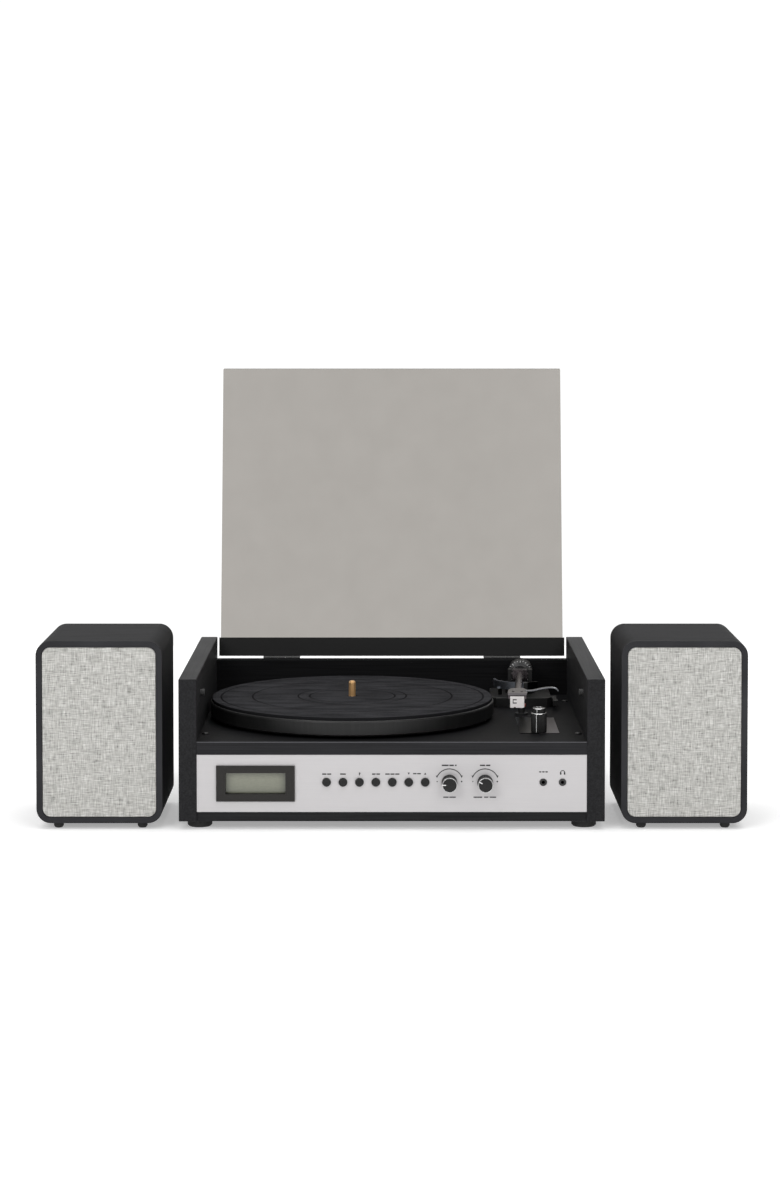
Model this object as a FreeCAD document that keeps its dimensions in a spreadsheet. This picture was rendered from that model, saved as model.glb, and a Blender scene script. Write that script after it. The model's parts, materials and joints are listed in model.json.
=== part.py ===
import FreeCAD, Part
import math
import os
import re
import Sketcher

# Mini hifi system: a record-player and radio unit with two bookshelf speakers.
#
# Every piece is modelled in "unit coordinates", in millimetres: X to the right, Y backwards
# from the unit's front plane, Z up from the surface that the feet stand on.  finish_node()
# then shifts each piece by front_y, so the whole system's box is centred on the part's origin.

doc = FreeCAD.newDocument("mini_hifi_system")

DIMENSIONS = {
    # Housing of the main unit
    "front_y": -193.5,
    "unit_width": 425.0,
    "unit_depth": 330.0,
    "foot_rise": 8.4,
    "cheek_top": 151.0,
    "cheek": 18.0,
    "edge_round": 0.8,
    "base_top": 17.9,
    "panel_top": 75.4,
    "panel_front": 1.0,
    "panel_back": 4.0,
    "deck_front": 0.6,
    "deck_top": 88.4,
    "rear_top": 127.2,
    "rear_front": 315.0,
    "rear_face": 329.4,
    "foot_radius": 12.5,
    "foot_inset_x": 19.5,
    "foot_inset_y": 24.0,
    "screw_x": 189.2,
    "screw_front": 49.0,
    "screw_back": 265.0,
    "screw_head": 3.4,
    "screw_shank": 1.5,
    # Fascia
    "control_z": 47.8,
    "button_first": -65.1,
    "button_pitch": 16.4,
    "button_radius": 4.15,
    "button_hole": 4.4,
    "volume_x": 57.4,
    "tuning_x": 93.0,
    "knob_radius": 7.5,
    "knob_skirt": 7.8,
    "knob_reach": 17.0,
    "shaft_radius": 3.0,
    "aux_x": 151.0,
    "phones_x": 170.2,
    "jack_nose": 3.65,
    "jack_bore": 1.75,
    "lcd_x": -135.9,
    "lcd_z": 46.6,
    "bezel_width": 78.4,
    "bezel_height": 35.8,
    "glass_width": 59.8,
    "glass_height": 21.4,
    "board_front": 18.0,
    "board_back": 19.6,
    # Platter and drive
    "platter_x": -41.7,
    "platter_y": 162.0,
    "platter_radius": 149.0,
    "platter_low": 91.0,
    "platter_top": 107.4,
    "mat_radius": 147.5,
    "mat_top": 110.4,
    "spindle_radius": 3.6,
    "spindle_bearing": 4.2,
    "spindle_tip": 126.4,
    "drum_radius": 86.0,
    "pulley_radius": 6.0,
    "pulley_reach": 118.0,
    "pulley_angle": 135.0,
    "belt_gap": 0.3,
    "belt": 0.8,
    # Tonearm
    "pivot_x": 139.9,
    "pivot_y": 262.0,
    "arm_z": 118.5,
    "arm_angle": 3.5,
    "tube_radius": 4.0,
    "arm_base_left": 107.4,
    "arm_base_right": 172.4,
    "arm_base_front": 221.0,
    "arm_base_back": 296.0,
    "arm_base_top": 99.0,
    "turret_radius": 16.0,
    "cue_arc_radius": 29.0,
    "cue_arc_low": 105.5,
    "cue_arc_top": 113.9,
    "weight_radius": 13.2,
    "headshell_reach": 192.0,
    "headshell_width": 20.0,
    "headshell_top": 126.4,
    "headshell_thick": 6.4,
    "speed_x": 149.5,
    "speed_y": 56.0,
    "speed_radius": 8.0,
    "speed_step": 109.0,
    "speed_top": 114.0,
    "plate_left": 130.0,
    "plate_right": 170.0,
    "plate_front": 51.0,
    "plate_back": 150.0,
    "plate_top": 89.0,
    # Lid and hinges
    "lid_width": 382.8,
    "lid_length": 326.0,
    "lid_sheet": 3.0,
    "bar_length": 386.0,
    "bar_width": 20.4,
    "bar_thick": 4.6,
    "bar_low": 1.0,
    "hinge_x": 123.0,
    "hinge_y": 331.7,
    "hinge_z": 127.2,
    "hinge_length": 41.0,
    "knuckle": 2.2,
    "pin_radius": 1.0,
    "leaf": 1.2,
    "lid_lean": 11.0,
    "bumper_y": 60.0,
    "bumper_z": 129.1,
    "bumper_radius": 3.5,
    # Speakers
    "speaker_x": 291.9,
    "speaker_front": 3.4,
    "speaker_width": 125.8,
    "speaker_height": 182.7,
    "speaker_depth": 142.3,
    "speaker_rise": 6.1,
    "corner": 14.5,
    "rim": 6.0,
    "wall": 9.0,
    "grille_thick": 6.5,
    "cloth": 1.5,
    "baffle_front": 10.0,
    "baffle_back": 20.0,
    "driver_z": 84.0,
    "driver_hole": 40.0,
    "driver_flange": 45.0,
    "peg_radius": 2.5,
    "fit": 0.05,
}

dims = doc.addObject("Spreadsheet::Sheet", "dims")
for row, (alias, size) in enumerate(DIMENSIONS.items(), start=1):
    dims.set("A%d" % row, alias)
    dims.set("B%d" % row, str(size))
    dims.setAlias("B%d" % row, alias)
doc.recompute()

working = doc.addObject("Spreadsheet::Sheet", "working")
nodes = []


# ---------------------------------------------------------------- helpers

def formula(text):
    """Turn 'cheek / 2' into an expression that reads the cells of the sheet."""
    def cell(match):
        word = match.group()
        return "dims." + word if word in DIMENSIONS else word
    return re.sub(r"[a-z_]+[a-z0-9_]*", cell, str(text))


def number(text):
    """The present value of a formula, worked out on a sheet of its own."""
    working.set("A1", "=" + formula(text))
    working.recompute()
    return float(working.get("A1"))


def bind(obj, **formulas):
    for path, text in formulas.items():
        obj.setExpression(path.replace("__", "."), formula(text))


def place(obj, at):
    """Bind an object's position to three formulas."""
    for axis, text in zip("xyz", at):
        obj.setExpression("Placement.Base." + axis, formula(text))


def finish_node(obj, name, shift=("0", "0", "0")):
    """Name a finished piece and move it from unit coordinates to the part's own frame."""
    obj.Label = name
    x, y, z = shift
    place(obj, (x, "front_y + (%s)" % y, z))
    nodes.append(obj)
    return obj


def box(name, at, size):
    solid = doc.addObject("Part::Box", name)
    bind(solid, Length=size[0], Width=size[1], Height=size[2])
    place(solid, at)
    return solid


UP = FreeCAD.Rotation()
BACK = FreeCAD.Rotation(FreeCAD.Vector(1, 0, 0), -90)
RIGHT = FreeCAD.Rotation(FreeCAD.Vector(0, 1, 0), 90)


def cylinder(name, at, radius, height, direction=UP):
    solid = doc.addObject("Part::Cylinder", name)
    bind(solid, Radius=radius, Height=height)
    solid.Placement = FreeCAD.Placement(FreeCAD.Vector(), direction)
    place(solid, at)
    return solid


def cone(name, at, first_radius, last_radius, height, direction=UP):
    solid = doc.addObject("Part::Cone", name)
    bind(solid, Radius1=first_radius, Radius2=last_radius, Height=height)
    solid.Placement = FreeCAD.Placement(FreeCAD.Vector(), direction)
    place(solid, at)
    return solid


def group(name, solids):
    """Several separate solids as one piece."""
    compound = doc.addObject("Part::Compound", name)
    compound.Links = solids
    return compound


def fuse(name, solids):
    union = doc.addObject("Part::MultiFuse", name)
    union.Shapes = solids
    return union


def cut(name, base, tools):
    """base less every tool."""
    difference = doc.addObject("Part::Cut", name)
    difference.Base = base
    difference.Tool = tools[0] if len(tools) == 1 else fuse(name + "_tools", tools)
    return difference


def new_body(name):
    return doc.addObject("PartDesign::Body", name)


def sketch_on(body, role, level="0"):
    """A sketch on one of the body's own origin planes, moved along the plane's normal."""
    plane = next(item for item in body.Origin.OriginFeatures if item.Role == role)
    sketch = body.newObject("Sketcher::SketchObject", body.Name + "_sketch")
    sketch.AttachmentSupport = [(plane, "")]
    sketch.MapMode = "FlatFace"
    sketch.setExpression("AttachmentOffset.Base.z", formula(level))
    return sketch


def pin_point(sketch, geometry, vertex, point):
    """Hold one vertex at the place that two formulas give."""
    for kind, text in zip(("DistanceX", "DistanceY"), point):
        rule = Sketcher.Constraint(kind, -1, 1, geometry, vertex, number(text))
        index = sketch.addConstraint(rule)
        sketch.setExpression("Constraints[%d]" % index, formula(text))


def polygon(sketch, points):
    """A closed outline of straight lines through points given as pairs of formulas."""
    first = sketch.GeometryCount
    corners = [FreeCAD.Vector(number(u), number(v), 0) for u, v in points]
    count = len(points)
    for index in range(count):
        sketch.addGeometry(Part.LineSegment(corners[index], corners[(index + 1) % count]), False)
    for index in range(count):
        following = first + (index + 1) % count
        sketch.addConstraint(Sketcher.Constraint("Coincident", first + index, 2, following, 1))
    for index in range(count):
        pin_point(sketch, first + index, 1, points[index])


def rectangle(sketch, left, low, right, high):
    polygon(sketch, [(left, low), (right, low), (right, high), (left, high)])


def circle(sketch, centre, radius):
    middle = FreeCAD.Vector(number(centre[0]), number(centre[1]), 0)
    index = sketch.addGeometry(Part.Circle(middle, FreeCAD.Vector(0, 0, 1), number(radius)), False)
    pin_point(sketch, index, 3, centre)
    rule = sketch.addConstraint(Sketcher.Constraint("Radius", index, number(radius)))
    sketch.setExpression("Constraints[%d]" % rule, formula(radius))


def pad(body, sketch, length, towards_back=False):
    feature = body.newObject("PartDesign::Pad", body.Name + "_pad")
    feature.Profile = sketch
    feature.Reversed = towards_back
    bind(feature, Length=length)
    doc.recompute()
    return feature


def pocket(body, sketch, length=None, towards_back=False):
    """Cut a sketch through the whole body, or to a length."""
    before = body.Shape.Volume
    feature = body.newObject("PartDesign::Pocket", body.Name + "_pocket")
    feature.Profile = sketch
    if length is None:
        feature.Type = "ThroughAll"
        feature.SideType = "Symmetric"
    else:
        feature.Reversed = towards_back
        bind(feature, Length=length)
    doc.recompute()
    if feature.Shape.Volume >= before - 1e-6:
        raise RuntimeError("%s cuts nothing" % feature.Name)
    return feature


def turned(name, outline, role="XZ_Plane"):
    """A body of revolution: outline points are (radius, height along the axis)."""
    body = new_body(name)
    sketch = sketch_on(body, role)
    polygon(sketch, outline)
    feature = body.newObject("PartDesign::Revolution", name + "_turn")
    feature.Profile = sketch
    feature.ReferenceAxis = (sketch, ["V_Axis"])
    feature.Angle = 360
    doc.recompute()
    return body


def round_edges(body, base, radius, choose):
    """Fillet the edges of a feature that choose(edge) picks."""
    names = ["Edge%d" % (index + 1) for index, edge in enumerate(base.Shape.Edges) if choose(edge)]
    feature = body.newObject("PartDesign::Fillet", body.Name + "_round")
    feature.Base = (base, names)
    bind(feature, Radius=radius)
    doc.recompute()
    return feature


def runs_along(axis):
    """Chooses straight edges parallel to an axis."""
    def choose(edge):
        if edge.Curve.TypeId != "Part::GeomLine":
            return False
        return abs(abs(edge.Curve.Direction.dot(axis)) - 1) < 1e-6
    return choose


def at_height(level):
    """Chooses edges that lie wholly at one height."""
    def choose(edge):
        bounds = edge.BoundBox
        return abs(bounds.ZMin - level) < 1e-4 and abs(bounds.ZMax - level) < 1e-4
    return choose


SIDES = {"left": "-1", "right": "1"}
ALONG_Y = FreeCAD.Vector(0, 1, 0)


# ---------------------------------------------------------------- housing

def side_panels():
    """Two wrapped boards that stand on edge and carry everything between them."""
    starts = {"left": "-unit_width / 2", "right": "unit_width / 2 - cheek"}
    for side, start in starts.items():
        body = new_body(side + "_side_panel")
        sketch = sketch_on(body, "YZ_Plane", start)
        rectangle(sketch, "0", "foot_rise", "unit_depth", "cheek_top")
        block = pad(body, sketch, "cheek")
        round_edges(body, block, "edge_round", lambda edge: True)
        finish_node(body, side + "_side_panel")


def base_board():
    """The bottom board, with two rows of vent slots."""
    body = new_body("base_board")
    sketch = sketch_on(body, "XY_Plane", "foot_rise")
    rectangle(sketch, "-unit_width / 2 + cheek", "2", "unit_width / 2 - cheek", "rear_face")
    pad(body, sketch, "base_top - foot_rise")
    slots = sketch_on(body, "XY_Plane", "base_top")
    for slot in range(6):
        left = "-60 + 22 * %d" % slot
        rectangle(slots, left, "200", left + " + 6", "240")
    pocket(body, slots)
    finish_node(body, "base_board")


def deck_board():
    """The top deck that the platter and the tonearm stand on."""
    body = new_body("deck_board")
    sketch = sketch_on(body, "XY_Plane", "panel_top")
    rectangle(sketch, "-unit_width / 2 + cheek", "deck_front", "unit_width / 2 - cheek", "rear_front")
    board = pad(body, sketch, "deck_top - panel_top")
    front_edges = [edge for edge in board.Shape.Edges if edge.BoundBox.YMax < 1]
    top_front = max(front_edges, key=lambda edge: edge.BoundBox.ZMin)
    round_edges(body, board, "edge_round", lambda edge: edge.isSame(top_front))
    holes = sketch_on(body, "XY_Plane", "deck_top")
    circle(holes, ("platter_x", "platter_y"), "9.8")
    circle(holes, motor_place(), "9")
    circle(holes, ("pivot_x", "pivot_y"), "7")
    circle(holes, ("speed_x", "speed_y"), "shaft_radius + 0.4")
    for x in ("-screw_x", "screw_x"):
        for y in ("screw_front", "screw_back"):
            circle(holes, (x, y), "screw_shank + fit")
    pocket(body, holes)
    finish_node(body, "deck_board")


def motor_place():
    x = "platter_x + pulley_reach * cos(pulley_angle * 1deg)"
    y = "platter_y + pulley_reach * sin(pulley_angle * 1deg)"
    return x, y


def rear_board():
    """The raised board across the back, with the connector opening."""
    body = new_body("rear_board")
    sketch = sketch_on(body, "XZ_Plane", "-rear_front")
    rectangle(sketch, "-unit_width / 2 + cheek", "base_top", "unit_width / 2 - cheek", "rear_top")
    board = pad(body, sketch, "rear_face - rear_front", towards_back=True)
    top = number("rear_top")
    long_way = runs_along(FreeCAD.Vector(1, 0, 0))
    round_edges(body, board, "edge_round", lambda e: long_way(e) and at_height(top)(e))
    opening = sketch_on(body, "XZ_Plane", "-rear_front")
    rectangle(opening, "-85", "26", "85", "70")
    pocket(body, opening)
    finish_node(body, "rear_board")


def front_panel():
    """The fascia, with the display opening and the holes for the controls."""
    body = new_body("front_panel")
    sketch = sketch_on(body, "XZ_Plane", "-panel_front")
    rectangle(sketch, "-unit_width / 2 + cheek", "base_top", "unit_width / 2 - cheek", "panel_top")
    pad(body, sketch, "panel_back - panel_front", towards_back=True)
    holes = sketch_on(body, "XZ_Plane", "-panel_front")
    half_width = "(bezel_width / 2 - 2)"
    half_height = "(bezel_height / 2 - 2)"
    rectangle(holes, "lcd_x - " + half_width, "lcd_z - " + half_height,
              "lcd_x + " + half_width, "lcd_z + " + half_height)
    for index in range(7):
        circle(holes, (button_x(index), "control_z"), "button_hole")
    for x in ("volume_x", "tuning_x"):
        circle(holes, (x, "control_z"), "shaft_radius + 1")
    for x in ("aux_x", "phones_x"):
        circle(holes, (x, "control_z"), "jack_nose + 0.1")
    pocket(body, holes)
    finish_node(body, "front_panel")


def unit_feet():
    """Four round feet with a turned-in lower edge."""
    feet = []
    for x in ("-unit_width / 2 + foot_inset_x", "unit_width / 2 - foot_inset_x"):
        for y in ("foot_inset_y", "unit_depth - foot_inset_y"):
            sole = cone("foot_sole", (x, y, "0"), "foot_radius - 1.6", "foot_radius", "1.6")
            puck = cylinder("foot_puck", (x, y, "1.6"), "foot_radius", "foot_rise - 1.6")
            feet.append(fuse("foot", [sole, puck]))
    finish_node(group("unit_feet", feet), "unit_feet")


def screws():
    """Four pan-head screws that hold the deck, and the heads of the six rear hinge screws."""
    solids = []
    for x in ("-screw_x", "screw_x"):
        for y in ("screw_front", "screw_back"):
            head = cylinder("deck_head", (x, y, "deck_top"), "screw_head", "0.9")
            dome = cone("deck_dome", (x, y, "deck_top + 0.9"), "screw_head", "screw_head - 1.2", "0.7")
            shank = cylinder("deck_shank", (x, y, "panel_top"), "screw_shank", "deck_top - panel_top")
            solids.append(fuse("deck_screw", [head, dome, shank]))
    for centre in ("-hinge_x", "hinge_x"):
        for step in ("-14", "0", "14"):
            at = ("%s + (%s)" % (centre, step), "rear_face + leaf", "hinge_z - 9")
            solids.append(cylinder("hinge_screw", at, "1.8", "0.7", BACK))
    finish_node(group("screws", solids), "screws")


# ---------------------------------------------------------------- fascia

def button_x(index):
    return "button_first + button_pitch * %d" % index


def push_buttons():
    """Seven round buttons, each with a flange behind the fascia and a stem to its switch."""
    outline = [
        ("0", "-1.6"), ("button_radius - 0.6", "-1.6"), ("button_radius", "-1.0"),
        ("button_radius", "panel_back + 0.3"), ("5.2", "panel_back + 0.3"), ("5.2", "panel_back + 1.3"),
        ("2", "panel_back + 1.3"), ("2", "11.4"), ("0", "11.4"),
    ]
    for index in range(7):
        name = "push_button_%d" % (index + 1)
        body = turned(name, outline, "XY_Plane")
        finish_node(body, name, (button_x(index), "0", "control_z"))


def fascia_knobs():
    """The volume and tuning knobs, each on its own shaft."""
    outline = [
        ("0", "-knob_reach"), ("knob_radius - 0.8", "-knob_reach"), ("knob_radius", "-knob_reach + 0.8"),
        ("knob_radius", "-4.4"), ("knob_skirt", "-4.0"), ("knob_skirt", "0.4"),
        ("shaft_radius", "0.4"), ("shaft_radius", "14"), ("0", "14"),
    ]
    for name, x in (("volume_knob", "volume_x"), ("tuning_knob", "tuning_x")):
        body = turned(name, outline, "XY_Plane")
        finish_node(body, name, (x, "0", "control_z"))


def lcd_bezel():
    """A frame with a flange on the fascia and a sloped throat down to the window."""
    body = new_body("lcd_bezel")
    flange = sketch_on(body, "XZ_Plane", "1")
    centred_rectangle(flange, "bezel_width / 2", "bezel_height / 2")
    pad(body, flange, "panel_front + 1", towards_back=True)
    neck = sketch_on(body, "XZ_Plane", "-panel_front")
    centred_rectangle(neck, "bezel_width / 2 - 2.1", "bezel_height / 2 - 2.1")
    pad(body, neck, "6.4 - panel_front", towards_back=True)
    opening = sketch_on(body, "XZ_Plane", "1")
    centred_rectangle(opening, "glass_width / 2", "glass_height / 2")
    pocket(body, opening)
    finish_node(body, "lcd_bezel")


def centred_rectangle(sketch, half_width, half_height):
    rectangle(sketch, "lcd_x - (%s)" % half_width, "lcd_z - (%s)" % half_height,
              "lcd_x + (%s)" % half_width, "lcd_z + (%s)" % half_height)


def lcd_window():
    corner_at = ("lcd_x - glass_width / 2 - 1", "6.4", "lcd_z - glass_height / 2 - 1")
    sheet = box("lcd_window", ("0", "0", "0"), ("glass_width + 2", "1.4", "glass_height + 2"))
    finish_node(sheet, "lcd_window", corner_at)


def encoder(x):
    """A rotary control: a can on the board and a bushing that the shaft runs in."""
    can = box("encoder_can", (x + " - 6", "11", "control_z - 6"), ("12", "board_front - 11", "12"))
    bushing = cylinder("encoder_bushing", (x, "5.5", "control_z"), "3.8", "5.5", BACK)
    bore = cylinder("encoder_bore", (x, "5", "control_z"), "shaft_radius + fit", "9.6", BACK)
    return cut("encoder", fuse("encoder_outside", [can, bushing]), [bore])


def jack(x):
    """A 3.5 mm socket: a block on the board with a round nose through the fascia."""
    block = box("jack_block", (x + " - 4.5", "6", "control_z - 4.5"), ("9", "board_front - 6", "9"))
    nose = cylinder("jack_nose", (x, "0.4", "control_z"), "jack_nose", "5.6", BACK)
    bore = cylinder("jack_bore", (x, "0", "control_z"), "jack_bore", "15.2", BACK)
    return cut("jack", fuse("jack_outside", [block, nose]), [bore])


def tact_switch(index):
    x = button_x(index)
    can = box("switch_can", (x + " - 3", "14", "control_z - 3"), ("6", "board_front - 14", "6"))
    plunger = cylinder("switch_plunger", (x, "12.4", "control_z"), "1.6", "1.6", BACK)
    return fuse("tact_switch", [can, plunger])


def control_board():
    """The board behind the fascia, with switches, rotary controls, jacks and the display."""
    board = box("control_pcb", ("-190", "board_front", "21"), ("380", "board_back - board_front", "51"))
    parts = [board]
    parts += [tact_switch(index) for index in range(7)]
    parts += [encoder(x) for x in ("volume_x", "tuning_x")]
    parts += [jack(x) for x in ("aux_x", "phones_x")]
    parts.append(box("lcd_glass", ("lcd_x - 33", "8.2", "lcd_z - 14"), ("66", "board_front - 8.2", "28")))
    for x in ("-186", "186"):
        for z in ("25", "68"):
            parts.append(cylinder("post", (x, "panel_back", z), "2.5", "board_front - panel_back", BACK))
    finish_node(group("control_board", parts), "control_board")


# ---------------------------------------------------------------- electronics

def main_board():
    """The amplifier and radio board on its posts, with its larger components."""
    top = "29.6"
    parts = [box("amplifier_pcb", ("-110", "150", "28"), ("190", "140", "1.6"))]
    for x in ("-105", "75"):
        for y in ("155", "285"):
            parts.append(cylinder("board_post", (x, y, "base_top"), "3", "28 - base_top"))
    for x in ("-90", "-72", "-54"):
        parts.append(cylinder("capacitor", (x, "270", top), "6.5", "24"))
    for x in ("-20", "0"):
        parts.append(cylinder("inductor", (x, "262", top), "7", "10"))
    parts.append(box("tuner_can", ("-104", "165", top), ("34", "46", "9")))
    parts.append(box("amplifier_chip", ("22", "240", top), ("22", "12", "4")))
    comb = box("heat_sink_block", ("14", "252", top), ("50", "20", "22"))
    gaps = [box("heat_sink_gap", ("18 + 6 * %d" % fin, "255", "34"), ("3", "30", "30")) for fin in range(8)]
    parts.append(cut("heat_sink", comb, gaps))
    finish_node(group("main_board", parts), "main_board")


RCA_PLACES = ("-66", "-50")
TERMINAL_PLACES = ("4", "22", "40", "58")


def connector_plate():
    """The moulded plate that carries the sockets at the back."""
    body = new_body("connector_plate")
    sketch = sketch_on(body, "XZ_Plane", "-rear_face")
    rectangle(sketch, "-92", "20", "92", "76")
    block = pad(body, sketch, "2", towards_back=True)
    round_edges(body, block, "3", runs_along(ALONG_Y))
    holes = sketch_on(body, "XZ_Plane", "-rear_face")
    for x in RCA_PLACES:
        circle(holes, (x, "48"), "5.1")
    circle(holes, ("-26", "48"), "4.6")
    rectangle(holes, "-5.4", "34", "67.4", "62")
    for x in ("-80", "80"):
        circle(holes, (x, "48"), "1.6")
    pocket(body, holes)
    finish_node(body, "connector_plate")


def rear_sockets():
    """Two phono sockets, the power inlet and the spring terminals for the speakers."""
    back = "rear_face + 2"
    parts = []
    for x in RCA_PLACES:
        body = cylinder("phono_body", (x, "rear_face - 10", "48"), "5", "12", BACK)
        barrel = cylinder("phono_barrel", (x, back, "48"), "4.15", "8", BACK)
        bore = cylinder("phono_bore", (x, "rear_face - 4", "48"), "1.6", "20", BACK)
        parts.append(cut("phono_socket", fuse("phono_outside", [body, barrel]), [bore]))
    inlet = cylinder("inlet_body", ("-26", "rear_face - 11", "48"), "4.5", "13.5", BACK)
    inlet_bore = cylinder("inlet_bore", ("-26", "rear_face - 7", "48"), "2.75", "12", BACK)
    parts.append(cut("power_inlet", inlet, [inlet_bore]))
    for x in TERMINAL_PLACES:
        block = box("terminal_block", (x + " - 8.9", "rear_face - 12", "34.5"), ("17.8", "16", "27"))
        wire_hole = cylinder("wire_hole", (x, "rear_face - 6", "40"), "1.5", "14", BACK)
        parts.append(cut("terminal_body", block, [wire_hole]))
        parts.append(box("terminal_tab", (x + " - 4.5", "rear_face + 4", "46"), ("9", "4", "12")))
    finish_node(group("rear_sockets", parts), "rear_sockets")


# ---------------------------------------------------------------- platter and drive

def spindle():
    """The centre pin with its bearing boss, fixed in the deck."""
    outline = [
        ("0", "72"), ("9.5", "72"), ("9.5", "deck_top"), ("14", "deck_top"), ("14", "deck_top + 1.8"),
        ("9.5", "deck_top + 1.8"), ("9.5", "92.4"), ("spindle_bearing", "92.4"),
        ("spindle_bearing", "platter_top - 0.6"), ("spindle_radius", "mat_top + 0.2"),
        ("spindle_radius", "spindle_tip - 2"), ("spindle_radius - 0.8", "spindle_tip - 0.6"),
        ("spindle_radius - 2", "spindle_tip"), ("0", "spindle_tip"),
    ]
    finish_node(turned("spindle", outline), "spindle", ("platter_x", "platter_y", "0"))


def platter():
    """The record platter: a disc with a rim, a hub and a belt drum underneath."""
    web = "platter_top - 4"
    outline = [
        ("spindle_bearing + fit", "92.4"), ("12", "92.4"), ("12", web), ("drum_radius - 3", web),
        ("drum_radius - 3", "93.4"), ("drum_radius", "93.4"), ("drum_radius", web),
        ("platter_radius - 7", web), ("platter_radius - 7", "platter_low"),
        ("platter_radius - 2", "platter_low"), ("platter_radius", "platter_low + 2"),
        ("platter_radius", "platter_top - 2"), ("platter_radius - 0.6", "platter_top - 0.6"),
        ("platter_radius - 2", "platter_top"), ("spindle_bearing + fit", "platter_top"),
    ]
    finish_node(turned("platter", outline), "platter", ("platter_x", "platter_y", "0"))


def slipmat():
    outline = [
        ("spindle_bearing + 0.4", "platter_top"), ("mat_radius - 0.8", "platter_top"),
        ("mat_radius", "platter_top + 0.8"), ("mat_radius", "mat_top - 0.8"),
        ("mat_radius - 0.8", "mat_top"), ("spindle_bearing + 0.4", "mat_top"),
    ]
    finish_node(turned("slipmat", outline), "slipmat", ("platter_x", "platter_y", "0"))


def motor():
    x, y = motor_place()
    can = cylinder("motor_can", (x, y, "46"), "14", "panel_top - 46")
    hole = cylinder("motor_bearing", (x, y, "60"), "1 + fit", "30")
    finish_node(cut("motor", can, [hole]), "motor")


def motor_pulley():
    """The motor's shaft with the small pulley pressed on it."""
    outline = [
        ("0", "62"), ("1", "62"), ("1", "90"), ("pulley_radius", "90"), ("pulley_radius", "100.4"),
        ("0", "100.4"),
    ]
    finish_node(turned("motor_pulley", outline), "motor_pulley", motor_place() + ("0",))


def belt_outline(offset):
    """The closed path round the drum and the pulley, at a distance from both."""
    drum = number("drum_radius") + offset
    pulley = number("pulley_radius") + offset
    reach = number("pulley_reach")
    heading = math.radians(number("pulley_angle"))
    lean = math.acos((drum - pulley) / reach)
    centre = FreeCAD.Vector(number("platter_x"), number("platter_y"), 0)
    pulley_centre = centre + FreeCAD.Vector(math.cos(heading), math.sin(heading), 0) * reach

    def rim(middle, radius, angle):
        return middle + FreeCAD.Vector(math.cos(angle), math.sin(angle), 0) * radius

    drum_start = rim(centre, drum, heading + lean)
    drum_middle = rim(centre, drum, heading + math.pi)
    drum_end = rim(centre, drum, heading - lean)
    pulley_start = rim(pulley_centre, pulley, heading - lean)
    pulley_middle = rim(pulley_centre, pulley, heading)
    pulley_end = rim(pulley_centre, pulley, heading + lean)
    edges = [
        Part.Arc(drum_start, drum_middle, drum_end).toShape(),
        Part.LineSegment(drum_end, pulley_start).toShape(),
        Part.Arc(pulley_start, pulley_middle, pulley_end).toShape(),
        Part.LineSegment(pulley_end, drum_start).toShape(),
    ]
    return Part.Wire(edges)


def drive_belt():
    gap = number("belt_gap")
    loop = Part.Face(belt_outline(gap + number("belt"))).cut(Part.Face(belt_outline(gap)))
    belt = doc.addObject("Part::Feature", "drive_belt")
    belt.Shape = loop.Faces[0].extrude(FreeCAD.Vector(0, 0, 5))
    finish_node(belt, "drive_belt", ("0", "0", "94.4"))


# ---------------------------------------------------------------- tonearm

def tonearm_base():
    """The block that carries the tonearm, with the fixed pedestal on it."""
    body = new_body("tonearm_base")
    sketch = sketch_on(body, "XY_Plane", "deck_top")
    polygon(sketch, [
        ("arm_base_left", "arm_base_front + 5"), ("arm_base_left + 5", "arm_base_front"),
        ("arm_base_right - 5", "arm_base_front"), ("arm_base_right", "arm_base_front + 5"),
        ("arm_base_right", "arm_base_back - 5"), ("arm_base_right - 5", "arm_base_back"),
        ("arm_base_left + 5", "arm_base_back"), ("arm_base_left", "arm_base_back - 5"),
    ])
    block = pad(body, sketch, "arm_base_top - deck_top")
    round_edges(body, block, "edge_round", at_height(number("arm_base_top")))
    neck = sketch_on(body, "XY_Plane", "arm_base_top")
    circle(neck, ("pivot_x", "pivot_y"), "turret_radius")
    pad(body, neck, "cue_arc_low - 0.4 - arm_base_top")
    holes = sketch_on(body, "XY_Plane", "arm_base_top")
    circle(holes, ("pivot_x", "pivot_y"), "5 + fit")
    circle(holes, cue_post_place(), "2 + fit")
    pocket(body, holes)
    lever_hole = sketch_on(body, "YZ_Plane", "arm_base_right")
    circle(lever_hole, LEVER_AXIS, "2 + fit")
    pocket(body, lever_hole, "8")
    finish_node(body, "tonearm_base")


CUE_POST = ("-22.3", "-16.1")
LEVER_AXIS = ("236", "94")


def cue_post_place():
    return "pivot_x + (%s)" % CUE_POST[0], "pivot_y + (%s)" % CUE_POST[1]


def arm_frame(obj, name, height="0"):
    """Turn a piece of the arm to its parked heading about the vertical through the pivot."""
    turn = FreeCAD.Rotation(FreeCAD.Vector(0, 0, -1), number("arm_angle"))
    obj.Placement = FreeCAD.Placement(FreeCAD.Vector(), turn)
    obj.setExpression("Placement.Rotation.Angle", formula("arm_angle"))
    finish_node(obj, name, ("pivot_x", "pivot_y", height))


def tonearm_yoke():
    """The fork that turns on the vertical shaft and holds the arm's cross pins."""
    shaft = cylinder("yoke_shaft", ("0", "0", "80"), "5", "cue_arc_low - 80")
    disc = cylinder("yoke_disc", ("0", "0", "cue_arc_low"), "turret_radius - 2", "3.5")
    solids = [shaft, disc]
    bores = []
    for side in ("-1", "1"):
        ear_at = ("11 * %s - 2" % side, "-6", "cue_arc_low + 3")
        solids.append(box("yoke_ear", ear_at, ("4", "12", "arm_z + 6 - cue_arc_low - 3")))
        bores.append(cylinder("yoke_bore", ("11 * %s - 3" % side, "0", "arm_z"), "1.5 + fit", "6", RIGHT))
    arm_frame(cut("tonearm_yoke", fuse("yoke_outside", solids), bores), "tonearm_yoke")


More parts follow.
